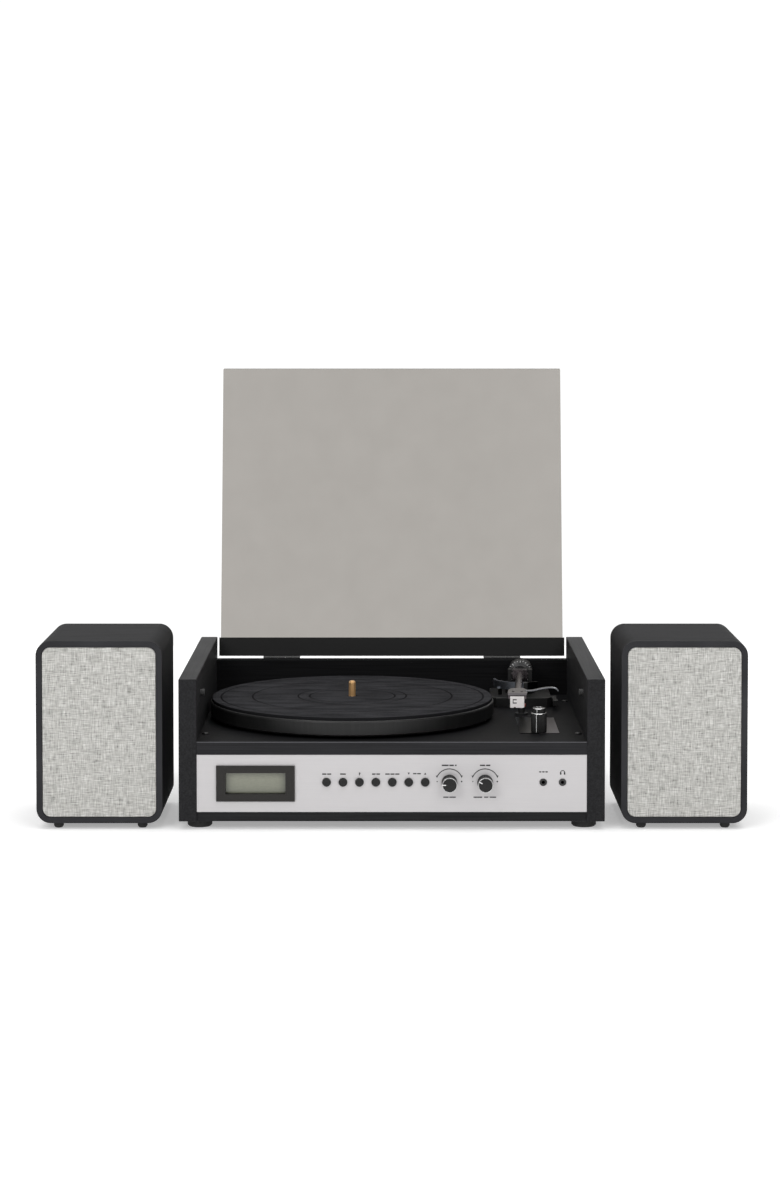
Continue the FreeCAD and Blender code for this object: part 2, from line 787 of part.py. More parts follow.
def tonearm_tube():
    """The arm's straight tube, its pivot block with cross pins, and the rear stub."""
    tube = cylinder("arm_tube", ("0", "-160", "arm_z"), "tube_radius", "154", BACK)
    block = box("arm_block", ("-8", "-8", "arm_z - 6"), ("16", "16", "12"))
    pins = cylinder("arm_pins", ("-12.5", "0", "arm_z"), "1.5", "25", RIGHT)
    stub = cylinder("arm_stub", ("0", "7", "arm_z"), "3", "33", BACK)
    arm_frame(fuse("tonearm_tube", [tube, block, pins, stub]), "tonearm_tube")


def counterweight():
    """The round weight on the rear stub, with its dial collar in front."""
    outline = [
        ("3 + fit", "14"), ("8", "14"), ("8", "18"), ("weight_radius - 0.8", "18"),
        ("weight_radius", "18.8"), ("weight_radius", "38.2"), ("weight_radius - 0.8", "39"),
        ("3 + fit", "39"),
    ]
    arm_frame(turned("counterweight", outline, "XY_Plane"), "counterweight", "arm_z")


def headshell():
    """The shell at the arm's front end, with its collar and the finger lift."""
    corner_at = ("-headshell_width / 2", "-headshell_reach + 3", "headshell_top - headshell_thick")
    plate = box("shell_plate", corner_at, ("headshell_width", "34", "headshell_thick"))
    collar = cylinder("shell_collar", ("0", "-headshell_reach + 35", "arm_z"), "5.6", "13", BACK)
    socket = cylinder("shell_socket", ("0", "-160", "arm_z"), "tube_radius + fit", "30", BACK)
    solids = [plate, collar, finger_lift()]
    arm_frame(cut("headshell", fuse("shell_outside", solids), [socket]), "headshell")


def finger_lift():
    """A thin strip that leaves the shell's right side, rises and curls down at its tip."""
    body = new_body("finger_lift")
    sketch = sketch_on(body, "XZ_Plane", "headshell_reach - 25")
    lower = [("7", "-0.6"), ("15", "-0.6"), ("27", "2"), ("35", "2.8"), ("40", "1.2"), ("41.6", "-0.6")]
    upper = [("42.6", "0.2"), ("41", "2.4"), ("35.5", "4"), ("26.5", "3.2"), ("15", "0.8"), ("7", "0.8")]
    polygon(sketch, [(x, "headshell_top + (%s)" % z) for x, z in lower + upper])
    pad(body, sketch, "5")
    return body


def cartridge():
    """The pickup with its stylus guard under the headshell."""
    body = box("cartridge_body", ("-7.3", "-headshell_reach + 3", "headshell_top - 12.4"), ("14.6", "24.2", "6"))
    guard = box("cartridge_guard", ("-7.3", "-headshell_reach", "headshell_top - 14.9"), ("14.6", "3", "11.5"))
    stylus = box("stylus", ("-2", "-headshell_reach + 3.2", "headshell_top - 14.4"), ("4", "10", "2"))
    arm_frame(fuse("cartridge", [body, guard, stylus]), "cartridge")


def arm_rest():
    """The post with a saddle that the parked tube lies in."""
    x = "pivot_x - 88 * tan(arm_angle * 1deg)"
    y = "pivot_y - 88"
    foot = cylinder("rest_foot", (x + " + 3", y, "deck_top"), "7", "2")
    post = cylinder("rest_post", (x + " + 3", y, "deck_top + 1"), "3.5", "21")
    saddle = box("rest_saddle", (x + " - 6", y + " - 3", "deck_top + 21"), ("15", "6", "4"))
    stop = box("rest_stop", (x + " + 5", y + " - 3", "deck_top + 25"), ("4", "6", "9"))
    finish_node(group("arm_rest", [fuse("rest_stand", [foot, post, saddle]), stop]), "arm_rest")


def cue_lift_arc():
    """The curved lifter below the tube, on the post that raises it."""
    outer = cylinder("arc_outer", ("0", "0", "cue_arc_low"), "cue_arc_radius", "cue_arc_top - cue_arc_low")
    inner = cylinder("arc_inner", ("0", "0", "0"), "cue_arc_radius - 2.6", "200")
    behind = box("arc_behind", ("-60", "2", "0"), ("120", "60", "200"))
    beside = box("arc_beside", ("18", "-60", "0"), ("60", "120", "200"))
    ring = cut("arc_ring", outer, [inner, behind, beside])
    post = cylinder("arc_post", CUE_POST + ("deck_top + 0.6",), "2", "cue_arc_low + 1 - deck_top - 0.6")
    shelf = box("arc_shelf", ("-25.5", "-18.5", "cue_arc_low"), ("5.5", "5.5", "2"))
    lift = fuse("cue_lift_arc", [ring, post, shelf])
    finish_node(lift, "cue_lift_arc", ("pivot_x", "pivot_y", "0"))


def cue_lever():
    """The lever at the right of the arm that works the lifter."""
    axis_y, axis_z = LEVER_AXIS
    pin = cylinder("lever_pin", ("arm_base_right - 7.5", axis_y, axis_z), "2", "8.5", RIGHT)
    hub = cylinder("lever_hub", ("arm_base_right + 0.4", axis_y, axis_z), "5", "5", RIGHT)
    arm = box("lever_arm", ("arm_base_right + 0.9", axis_y + " - 30", axis_z), ("4", "30", "4"))
    grip = box("lever_grip", ("arm_base_right + 0.4", axis_y + " - 36", axis_z + " - 1"), ("5", "12", "6"))
    finish_node(fuse("cue_lever", [pin, hub, arm, grip]), "cue_lever")


def control_plate():
    """The thin plate on the deck under the speed knob."""
    body = new_body("control_plate")
    sketch = sketch_on(body, "XY_Plane", "deck_top")
    rectangle(sketch, "plate_left", "plate_front", "plate_right", "plate_back")
    pad(body, sketch, "plate_top - deck_top")
    hole = sketch_on(body, "XY_Plane", "plate_top")
    circle(hole, ("speed_x", "speed_y"), "shaft_radius + 0.4")
    pocket(body, hole)
    finish_node(body, "control_plate")


def speed_knob():
    """The tall knurled knob with a smaller cap on top."""
    outline = [
        ("0", "78"), ("shaft_radius", "78"), ("shaft_radius", "plate_top + 0.4"),
        ("speed_radius", "plate_top + 0.4"), ("speed_radius", "speed_step - 0.6"),
        ("speed_radius - 0.6", "speed_step"), ("6.4", "speed_step"), ("6.4", "speed_top - 0.6"),
        ("5.8", "speed_top"), ("0", "speed_top"),
    ]
    finish_node(turned("speed_knob", outline), "speed_knob", ("speed_x", "speed_y", "0"))


# ---------------------------------------------------------------- lid

def lid_frame(obj, name):
    """Swing a lid piece, drawn closed about the hinge axis, back to its open stop."""
    tilt = FreeCAD.Rotation(FreeCAD.Vector(-1, 0, 0), 90 + number("lid_lean"))
    obj.Placement = FreeCAD.Placement(FreeCAD.Vector(), tilt)
    obj.setExpression("Placement.Rotation.Angle", formula("90 + lid_lean"))
    finish_node(obj, name, ("0", "hinge_y", "hinge_z"))


BOARD_FACE = "(rear_face - hinge_y)"


def lid_panel():
    """The flat clear sheet."""
    body = new_body("lid_panel")
    sketch = sketch_on(body, "XY_Plane", "bar_low + bar_thick")
    rectangle(sketch, "-lid_width / 2", BOARD_FACE + " - lid_length", "lid_width / 2", BOARD_FACE)
    sheet = pad(body, sketch, "lid_sheet")
    round_edges(body, sheet, "1.5", runs_along(FreeCAD.Vector(0, 0, 1)))
    lid_frame(body, "lid_panel")


def lid_bar():
    """The rail along the sheet's hinge edge."""
    body = new_body("lid_bar")
    sketch = sketch_on(body, "XY_Plane", "bar_low")
    rectangle(sketch, "-bar_length / 2", BOARD_FACE + " - bar_width", "bar_length / 2", BOARD_FACE)
    pad(body, sketch, "bar_thick")
    lid_frame(body, "lid_bar")


KNUCKLES = 5


def hinge(centre, owner, plate_low, plate_height):
    """Two knuckle rows share one barrel: owner 0 has knuckles 1, 3, 5 and owner 1 has 2, 4."""
    pitch = "(hinge_length / %d)" % KNUCKLES
    left = "%s - hinge_length / 2" % centre
    solids = [box("leaf_plate", (left, BOARD_FACE, plate_low), ("hinge_length", "leaf", plate_height))]
    for index in range(owner, KNUCKLES, 2):
        start = "%s + %s * %d + 0.1" % (left, pitch, index)
        width = pitch + " - 0.2"
        solids.append(cylinder("knuckle", (start, "0", "0"), "knuckle", width, RIGHT))
        tab_low = "0" if owner else "-3"
        solids.append(box("leaf_tab", (start, BOARD_FACE + " + 0.1", tab_low), (width, "leaf - 0.1", "3")))
    bore = cylinder("hinge_bore", (left + " - 1", "0", "0"), "pin_radius + fit", "hinge_length + 2", RIGHT)
    return cut("hinge_leaf", fuse("leaf_outside", solids), [bore])


def hinges():
    centres = ("-hinge_x", "hinge_x")
    rear = group("rear_hinge_leaves", [hinge(x, 0, "-15", "12.4") for x in centres])
    finish_node(rear, "rear_hinge_leaves", ("0", "hinge_y", "hinge_z"))
    moving = group("lid_hinge_leaves", [hinge(x, 1, "2.6", "5.6") for x in centres])
    lid_frame(moving, "lid_hinge_leaves")
    pins = []
    for x in centres:
        pins.append(cylinder("hinge_pin", (x + " - hinge_length / 2", "0", "0"), "pin_radius", "hinge_length", RIGHT))
    finish_node(group("hinge_pins", pins), "hinge_pins", ("0", "hinge_y", "hinge_z"))


def lid_bumpers():
    """Two round studs on the inner faces of the side panels, which the closed lid rests on."""
    left = cylinder("bumper", ("-unit_width / 2 + cheek", "bumper_y", "bumper_z"), "bumper_radius", "4", RIGHT)
    right = cylinder("bumper", ("unit_width / 2 - cheek - 4", "bumper_y", "bumper_z"), "bumper_radius", "4", RIGHT)
    finish_node(group("lid_bumpers", [left, right]), "lid_bumpers")


# ---------------------------------------------------------------- speakers
# A speaker is drawn about its own centre line and front plane, then placed left or right.

def speaker_place(side):
    return ("speaker_x * (%s)" % SIDES[side], "speaker_front", "speaker_rise")


def speaker_outline(sketch, inset):
    """The front outline of the box, moved inwards."""
    rectangle(sketch, "-speaker_width / 2 + (%s)" % inset, inset,
              "speaker_width / 2 - (%s)" % inset, "speaker_height - (%s)" % inset)


def rounded_plate(body, inset, front, thickness, radius):
    sketch = sketch_on(body, "XZ_Plane", "-(%s)" % front)
    speaker_outline(sketch, inset)
    block = pad(body, sketch, thickness, towards_back=True)
    return round_edges(body, block, radius, runs_along(ALONG_Y))


def hollow(name, inset, front, depth, radius):
    """A rounded block used to cut a space out of the cabinet."""
    body = new_body(name)
    rounded_plate(body, inset, front, depth, radius)
    return body


def cabinet(side):
    """The box: sides, top, bottom and back in one, open at the front behind a narrow rim."""
    outside = new_body(side + "_cabinet_block")
    rounded_plate(outside, "0", "0", "speaker_depth", "corner")
    recess = hollow(side + "_recess", "rim", "-1", "baffle_back + 1", "corner - rim")
    chamber = hollow(side + "_chamber", "wall", "baffle_back - 1", "speaker_depth - wall - baffle_back + 1",
                     "corner - wall")
    hole = box("terminal_hole", ("-24", "speaker_depth - wall - 1", "40"), ("48", "wall + 2", "30"))
    finish_node(cut(side + "_cabinet", outside, [recess, chamber, hole]), side + "_cabinet", speaker_place(side))


PEG_X = "(speaker_width / 2 - rim - 7)"
PEG_LOW = "(rim + 7)"
PEG_HIGH = "(speaker_height - rim - 7)"
PEGS = [(sign + PEG_X, z) for sign in ("-", "") for z in (PEG_LOW, PEG_HIGH)]


def baffle(side):
    body = new_body(side + "_baffle")
    rounded_plate(body, "rim + fit", "baffle_front", "baffle_back - baffle_front", "corner - rim - fit")
    holes = sketch_on(body, "XZ_Plane", "-baffle_front")
    circle(holes, ("0", "driver_z"), "driver_hole")
    for place_x, place_z in PEGS:
        circle(holes, (place_x, place_z), "peg_radius + fit")
    pocket(body, holes)
    finish_node(body, side + "_baffle", speaker_place(side))


def grille_frame(side):
    """The open frame that the cloth is stretched over, with a peg near each corner."""
    body = new_body(side + "_grille_frame")
    rounded_plate(body, "rim + 0.3", "cloth", "grille_thick - cloth", "corner - rim - 0.3")
    pegs = sketch_on(body, "XZ_Plane", "-grille_thick")
    for place_x, place_z in PEGS:
        circle(pegs, (place_x, place_z), "peg_radius")
    pad(body, pegs, "9", towards_back=True)
    window = sketch_on(body, "XZ_Plane", "-cloth")
    rectangle(window, "-speaker_width / 2 + rim + 11", "rim + 11",
              "speaker_width / 2 - rim - 11", "speaker_height - rim - 11")
    pocket(body, window)
    finish_node(body, side + "_grille_frame", speaker_place(side))


def grille_cloth(side):
    body = new_body(side + "_grille_cloth")
    rounded_plate(body, "rim + 0.3", "0", "cloth", "corner - rim - 0.3")
    finish_node(body, side + "_grille_cloth", speaker_place(side))


def driver(side):
    """The loudspeaker: basket and magnet in one turned solid, and the paper cone."""
    basket = turned(side + "_basket", [
        ("37", "8.2"), ("driver_flange", "8.2"), ("driver_flange", "10"), ("driver_hole - 0.5", "10"),
        ("driver_hole - 0.5", "20"), ("24", "44"), ("34", "44"), ("34", "60"), ("0", "60"), ("0", "42"),
        ("20", "42"), ("37", "18"),
    ], "XY_Plane")
    paper = turned(side + "_cone", [
        ("0", "22"), ("10", "24"), ("12", "26"), ("34", "11"), ("36.4", "11"), ("36.4", "12.2"),
        ("34.6", "12.4"), ("12.4", "28"), ("0", "28"),
    ], "XY_Plane")
    for piece in (basket, paper):
        place(piece, ("0", "0", "driver_z"))
    finish_node(group(side + "_driver", [basket, paper]), side + "_driver", speaker_place(side))


def terminal_plate(side):
    """The recess plate at the back with its two spring terminals."""
    plate = box("terminal_plate", ("-30", "speaker_depth", "34"), ("60", "2", "42"))
    cup = box("terminal_cup", ("-23.6", "speaker_depth - wall", "40.4"), ("47.2", "wall", "29.2"))
    posts = [box("terminal_tab", (x, "speaker_depth + 2", "50"), ("12", "3.4", "14")) for x in ("-18", "6")]
    holes = [cylinder("wire_hole", (x, "speaker_depth - 4", "45"), "1.5", "10", BACK) for x in ("-12", "12")]
    whole = cut(side + "_terminal_plate", fuse("terminal_outside", [plate, cup] + posts), holes)
    finish_node(whole, side + "_terminal_plate", speaker_place(side))


def speaker_feet(side):
    feet = []
    for x in ("-42", "42"):
        for y in ("12", "speaker_depth - 12"):
            dome = cone("dome", (x, y, "-speaker_rise"), "3.6", "5", "2")
            pad_part = cylinder("foot_pad", (x, y, "2 - speaker_rise"), "5", "speaker_rise - 2")
            feet.append(fuse("speaker_foot", [dome, pad_part]))
    finish_node(group(side + "_speaker_feet", feet), side + "_speaker_feet", speaker_place(side))


def speakers():
    for side in SIDES:
        for piece in (cabinet, baffle, grille_frame, grille_cloth, driver, terminal_plate, speaker_feet):
            piece(side)


# ---------------------------------------------------------------- build and write

def build():
    for make in (side_panels, base_board, deck_board, rear_board, front_panel, unit_feet, screws,
                 push_buttons, fascia_knobs, lcd_bezel, lcd_window, control_board, main_board,
                 connector_plate, rear_sockets, spindle, platter, slipmat, motor, motor_pulley,
                 drive_belt, tonearm_base, tonearm_yoke, tonearm_tube, counterweight, headshell,
                 cartridge, arm_rest, cue_lift_arc, cue_lever, control_plate, speed_knob, lid_panel,
                 lid_bar, hinges, lid_bumpers, speakers):
        make()
    doc.recompute()


def check_document():
    for obj in doc.Objects:
        if "Invalid" in obj.State or "Error" in obj.State:
            raise RuntimeError("%s is in state %s" % (obj.Name, obj.State))
    for piece in nodes:
        if piece.Shape.isNull() or not piece.Shape.isValid():
            raise RuntimeError("%s has no valid shape" % piece.Label)


def write_steps():
    os.makedirs("parts", exist_ok=True)
    whole = FreeCAD.BoundBox()
    for piece in nodes:
        piece.Shape.exportStep("parts/%s.step" % piece.Label)
        whole.add(piece.Shape.BoundBox)
    print("%d nodes" % len(nodes))
    print("X %.1f to %.1f, Y %.1f to %.1f, Z %.1f to %.1f"
          % (whole.XMin, whole.XMax, whole.YMin, whole.YMax, whole.ZMin, whole.ZMax))


build()
check_document()
write_steps()
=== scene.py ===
"""Looks of the mini hifi system: a turntable radio with an open smoked lid and two bookshelf speakers."""

import json
import math

import bmesh
import bpy
from mathutils import Matrix, Vector


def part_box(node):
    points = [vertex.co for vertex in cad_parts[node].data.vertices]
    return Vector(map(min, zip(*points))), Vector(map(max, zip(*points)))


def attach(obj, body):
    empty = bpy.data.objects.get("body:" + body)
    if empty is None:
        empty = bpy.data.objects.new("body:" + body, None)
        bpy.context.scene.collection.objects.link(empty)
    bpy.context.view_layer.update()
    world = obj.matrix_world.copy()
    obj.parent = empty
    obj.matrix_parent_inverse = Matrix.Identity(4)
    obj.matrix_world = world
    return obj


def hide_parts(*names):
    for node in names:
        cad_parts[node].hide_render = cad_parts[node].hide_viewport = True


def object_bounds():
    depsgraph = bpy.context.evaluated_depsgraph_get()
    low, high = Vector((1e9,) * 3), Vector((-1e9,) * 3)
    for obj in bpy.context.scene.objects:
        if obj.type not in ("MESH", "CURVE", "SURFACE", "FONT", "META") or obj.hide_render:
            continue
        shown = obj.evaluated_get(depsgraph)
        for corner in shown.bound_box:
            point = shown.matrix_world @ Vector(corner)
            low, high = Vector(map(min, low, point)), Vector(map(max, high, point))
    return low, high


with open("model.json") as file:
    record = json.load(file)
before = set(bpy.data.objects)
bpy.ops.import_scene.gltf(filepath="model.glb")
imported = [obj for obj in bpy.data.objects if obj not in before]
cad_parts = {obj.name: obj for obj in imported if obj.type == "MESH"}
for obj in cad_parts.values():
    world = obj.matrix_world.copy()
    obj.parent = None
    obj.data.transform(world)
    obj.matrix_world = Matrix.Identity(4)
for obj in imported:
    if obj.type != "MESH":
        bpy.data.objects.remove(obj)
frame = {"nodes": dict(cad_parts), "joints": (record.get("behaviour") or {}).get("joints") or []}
cad_low, cad_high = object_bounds()

MM = 0.001


# ---------------------------------------------------------------- node materials

class Paint:
    """A node material that is being put together around one Principled shader."""

    def __init__(self, name, **sockets):
        self.material = bpy.data.materials.new(name)
        self.material.use_nodes = True
        self.tree = self.material.node_tree
        self.shader = self.tree.nodes["Principled BSDF"]
        self.set(**sockets)

    def set(self, **sockets):
        for socket, value in sockets.items():
            self.feed(self.shader.inputs[socket.replace("_", " ")], value)

    def feed(self, socket, value):
        if isinstance(value, bpy.types.NodeSocket):
            self.tree.links.new(value, socket)
        else:
            socket.default_value = value

    def add(self, kind, settings=None, **inputs):
        node = self.tree.nodes.new("ShaderNode" + kind)
        for key, value in (settings or {}).items():
            setattr(node, key, value)
        for key, value in inputs.items():
            self.feed(node.inputs[key.replace("_", " ")], value)
        return node

    def math(self, operation, first, second=0.0):
        node = self.add("Math", {"operation": operation})
        self.feed(node.inputs[0], first)
        self.feed(node.inputs[1], second)
        return node.outputs["Value"]

    def place(self, stretch=(1, 1, 1)):
        """The point on the object in metres, stretched along its axes."""
        here = self.add("TexCoord").outputs["Object"]
        return self.add("Mapping", Vector=here, Scale=stretch).outputs["Vector"]

    def split(self, vector):
        return self.add("SeparateXYZ", Vector=vector).outputs

    def noise(self, scale, stretch=(1, 1, 1), detail=3.0):
        return self.add("TexNoise", Vector=self.place(stretch), Scale=scale, Detail=detail).outputs["Fac"]

    def span(self, value, low, high):
        return self.add("MapRange", Value=value, To_Min=low, To_Max=high).outputs["Result"]

    def ramp(self, value, *stops):
        """Colours by value: each stop is (position, colour), from the lowest up."""
        node = self.add("ValToRGB", Fac=value)
        marks = node.color_ramp.elements
        for mark, (position, colour) in ((marks[0], stops[0]), (marks[1], stops[-1])):
            mark.position = position
            mark.color = (*colour, 1)
        for position, colour in stops[1:-1]:
            marks.new(position).color = (*colour, 1)
        return node.outputs["Color"]

    def mix(self, share, first, second):
        node = self.add("MixRGB", Fac=share)
        self.feed(node.inputs[1], first)
        self.feed(node.inputs[2], second)
        return node.outputs["Color"]

    def relief(self, height, depth, normal=None):
        bump = self.add("Bump", Height=height, Distance=depth, Strength=1.0)
        if normal:
            self.feed(bump.inputs["Normal"], normal)
        self.set(Normal=bump.outputs["Normal"])

    def soft_edges(self, radius):
        return self.add("Bevel", {"samples": 4}, Radius=radius).outputs["Normal"]

    def edge_share(self, rounded):
        """0 on a flat face, rising towards 1 on an edge."""
        face = self.add("NewGeometry").outputs["Normal"]
        dot = self.add("VectorMath", {"operation": "DOT_PRODUCT"})
        self.feed(dot.inputs[0], rounded)
        self.feed(dot.inputs[1], face)
        return self.math("SUBTRACT", 1.0, dot.outputs["Value"])


def grained(name, dark, light, rough, scale=900.0, stretch=(1, 1, 1), depth=0.00002,
            edge=0.0004, edge_wear_and_highlight=(0.1, 0.1, 0.1), patches=14.0, **sockets):
    """A finish with fine grain, broad changes of sheen, and edges painted a little lighter, as wear on some
    finishes and as a painted highlight on others.
    """
    paint = Paint(name, **sockets)
    grain = paint.noise(scale, stretch, 4.0)
    rounded = paint.soft_edges(edge)
    colour = paint.ramp(grain, (0.3, dark), (0.72, light))
    # Edges painted lighter: wear on some finishes, a painted highlight on others.
    share = paint.math("MULTIPLY", paint.edge_share(rounded), 1.6)
    paint.set(Base_Color=paint.mix(share, colour, (*edge_wear_and_highlight, 1)))
    paint.set(Roughness=paint.span(paint.noise(patches), rough - 0.05, rough + 0.07))
    paint.relief(grain, depth, rounded)
    return paint.material


def grey(value, warm=0.0):
    return (value * (1 + warm), value, value * (1 - warm))


def cool(value):
    """A black with the faintest blue cast."""
    return (value * 0.97, value * 0.97, value * 1.05)


def linen():
    """Light heather cloth: uneven threads both ways, with the small checks of a plain weave."""
    paint = Paint("heather_linen", Roughness=0.95, Specular_IOR_Level=0.1)
    across = paint.noise(90.0, (14.0, 1.0, 1.0), 4.0)
    along = paint.noise(90.0, (1.0, 1.0, 14.0), 4.0)
    blotch = paint.noise(420.0, (1, 1, 1), 3.0)
    threads = paint.math("ADD", paint.math("MULTIPLY", across, 0.45), paint.math("MULTIPLY", along, 0.45))
    tone = paint.math("ADD", threads, paint.math("MULTIPLY", blotch, 0.12))
    colour = paint.ramp(tone, (0.35, (0.15, 0.15, 0.139)), (0.45, (0.407, 0.401, 0.38)),
                        (0.54, (0.556, 0.551, 0.524)), (0.64, (0.738, 0.733, 0.706)))
    axes = paint.split(paint.place((7000.0, 7000.0, 7000.0)))
    over = paint.math("SINE", axes["X"])
    under = paint.math("SINE", axes["Z"])
    weave = paint.math("MULTIPLY", over, under)
    paint.set(Base_Color=colour)
    checks = paint.math("MULTIPLY", weave, 0.5)
    slubs = paint.math("MULTIPLY", tone, 2.0)
    paint.relief(paint.math("ADD", checks, slubs), 0.00022)
    return paint.material


def felt():
    """Dark grey felt: matted fibres with a short nap, painted darker as shade down in the pressed rings."""
    paint = Paint("felt_grey", Roughness=1.0, Specular_IOR_Level=0.02)
    fibres = paint.noise(900.0, (1, 1, 1), 6.0)
    patches = paint.noise(26.0, (1.0, 3.0, 1.0), 4.0)
    tone = paint.math("ADD", paint.math("MULTIPLY", fibres, 0.45), paint.math("MULTIPLY", patches, 0.55))
    nap = paint.ramp(tone, (0.34, cool(0.016)), (0.66, cool(0.049)))
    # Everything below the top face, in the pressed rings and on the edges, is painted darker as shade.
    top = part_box("slipmat")[1].z - 0.00025
    groove_shade = paint.math("LESS_THAN", paint.split(paint.place())["Z"], top)
    paint.set(Base_Color=paint.mix(groove_shade, nap, (*cool(0.011), 1)))
    paint.relief(fibres, 0.00035)
    return paint.material


def wrapped_deck():
    """Black wrap on the deck, painted with light and shade: a darker top as painted shade, a lighter band on
    its front edge as the lit face, and a painted highlight line above the band.
    """
    low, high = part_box("deck_board")
    paint = Paint("deck_wrap", Roughness=0.6, Specular_IOR_Level=0.06)
    grain = paint.noise(650.0, (0.02, 1.0, 1.0), 4.0)
    # One wrap in two tones: the top painted darker as shade, the front band lighter as the lit face.
    top = paint.ramp(grain, (0.3, cool(0.006)), (0.72, cool(0.012)))
    band = paint.ramp(grain, (0.3, cool(0.019)), (0.72, cool(0.028)))
    axes = paint.split(paint.place())
    # A painted highlight line along the deck's top front edge.
    front = paint.math("LESS_THAN", axes["Y"], low.y + 0.0008)
    upper = paint.math("GREATER_THAN", axes["Z"], high.z - 0.0008)
    line = paint.math("MULTIPLY", front, upper)
    colour = paint.mix(front, top, band)
    paint.set(Base_Color=paint.mix(line, colour, (*cool(0.09), 1)))
    paint.relief(grain, 0.00004, paint.soft_edges(0.0006))
    return paint.material


def wrapped_cabinet():
    """Black wrap on the speakers, with a lighter face on the front rim, painted as the lit face."""
    paint = Paint("cabinet_wrap", Roughness=0.66, Specular_IOR_Level=0.045)
    grain = paint.noise(600.0, (0.03, 1.0, 0.03), 4.0)
    # The front rim is painted lighter than the sides as the lit face of the same wrap.
    sides = paint.ramp(grain, (0.3, cool(0.008)), (0.72, cool(0.021)))
    rim = paint.ramp(grain, (0.3, cool(0.028)), (0.72, cool(0.042)))
    rim_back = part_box("left_cabinet")[0].y + 0.0015
    front = paint.math("LESS_THAN", paint.split(paint.place())["Y"], rim_back)
    paint.set(Base_Color=paint.mix(front, sides, rim))
    paint.relief(grain, 0.00008, paint.soft_edges(0.0006))
    return paint.material


def smoked_acrylic():
    """Clear grey sheet: it dims what is behind it and has a thin sheen."""
    paint = Paint("smoke_acrylic")
    haze = paint.noise(30.0)
    tint = paint.ramp(haze, (0.3, (0.633, 0.618, 0.597)), (0.7, (0.646, 0.631, 0.61)))
    clear = paint.add("BsdfTransparent", Color=tint)
    sheen = paint.add("BsdfGlossy", Color=(1, 1, 1, 1), Roughness=0.14)
    share = paint.math("MULTIPLY", paint.add("Fresnel", IOR=1.45).outputs["Fac"], 0.55)
    both = paint.add("MixShader", Fac=share)
    paint.feed(both.inputs[1], clear.outputs["BSDF"])
    paint.feed(both.inputs[2], sheen.outputs["BSDF"])
    output = paint.tree.nodes["Material Output"]
    paint.feed(output.inputs["Surface"], both.outputs["Shader"])
    paint.tree.nodes.remove(paint.shader)
    return paint.material


def display():
    """A grey-green liquid crystal face with painted shade of the bezel towards its edges, and faint idle
    segments.
    """
    low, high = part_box("lcd_window")
    middle = (low + high) / 2
    paint = Paint("display_face", Roughness=0.16, Coat_Weight=0.4, Coat_Roughness=0.08)
    shifted = paint.add("VectorMath", {"operation": "SUBTRACT"})
    paint.feed(shifted.inputs[0], paint.place())
    paint.feed(shifted.inputs[1], tuple(middle))
    axes = paint.split(shifted.outputs["Vector"])
    # Darker towards the edges: painted shade from the bezel.
    side = paint.math("POWER", paint.math("ABSOLUTE", paint.math("DIVIDE", axes["X"], 0.0315)), 9.0)
    level = paint.math("POWER", paint.math("ABSOLUTE", paint.math("DIVIDE", axes["Z"], 0.0118)), 7.0)
    rim = paint.math("MINIMUM", paint.math("ADD", side, level), 1.0)
    ghost = paint.noise(240.0, (1, 1, 3), 1.0)
    ground = paint.ramp(ghost, (0.4, (0.215, 0.222, 0.17)), (0.6, (0.23, 0.238, 0.182)))
    paint.set(Base_Color=paint.mix(rim, ground, (0.1, 0.105, 0.08, 1)))
    return paint.material


def circuit(name, axis, low, high):
    """Green solder mask on the board itself and dark parts above and below it."""
    paint = Paint(name, Roughness=0.4)
    axes = paint.split(paint.place())
    above = paint.math("GREATER_THAN", axes[axis], low)
    below = paint.math("LESS_THAN", axes[axis], high)
    tracks = paint.noise(350.0, (1, 1, 1), 1.0)
    mask = paint.ramp(tracks, (0.47, (0.01, 0.07, 0.03)), (0.53, (0.02, 0.12, 0.05)))
    parts = paint.ramp(paint.noise(60.0), (0.4, grey(0.01)), (0.6, grey(0.03)))
    paint.set(Base_Color=paint.mix(paint.math("MULTIPLY", above, below), parts, mask))
    paint.relief(tracks, 0.00003)
    return paint.material


def brushed(name, dark, light, rough, stretch):
    """Bare metal with a fine brushed grain."""
    return grained(name, dark, light, rough, 700.0, stretch, 0.00001, 0.0003, light, Metallic=1.0)


def blackened(name, dark, light, stretch, *planes):
    """Brushed metal that is painted black past each plane, given as (side, axis, place)."""
    paint = Paint(name, Roughness=0.32, Metallic=1.0)
    grain = paint.noise(700.0, stretch)
    colour = paint.ramp(grain, (0.3, dark), (0.7, light))
    for side, axis, place in planes:
        past = paint.math(side, paint.split(paint.place())[axis], place)
        colour = paint.mix(past, colour, (*grey(0.015), 1))
    paint.set(Base_Color=colour)
    paint.relief(grain, 0.00001)
    return paint.material


LENGTHWISE = (0.02, 1.0, 1.0)
DEEPWISE = (1.0, 0.02, 1.0)
UPRIGHT = (1.0, 1.0, 0.02)

# The cue arc is painted black as shade on its post, below the arc itself, and on the last part of its right
# end.
ARC_DEPTH = 8.2
ARC_BARE_SHARE = 0.76
arc_low, arc_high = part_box("cue_lift_arc")
arc_shade_top = arc_high.z - ARC_DEPTH * MM
arc_shade_start = arc_low.x + ARC_BARE_SHARE * (arc_high.x - arc_low.x)

# The control plate is painted black left of the speed knob's middle.
knob_left, knob_right = (corner.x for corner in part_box("speed_knob"))
plate_split = (knob_left + knob_right) / 2

# Between these places a circuit is bare board; its parts stand out past them.
CONTROL_BOARD = (cad_low.y + 34.9 * MM, cad_low.y + 36.7 * MM)
MAIN_BOARD = (27.9 * MM, 29.7 * MM)

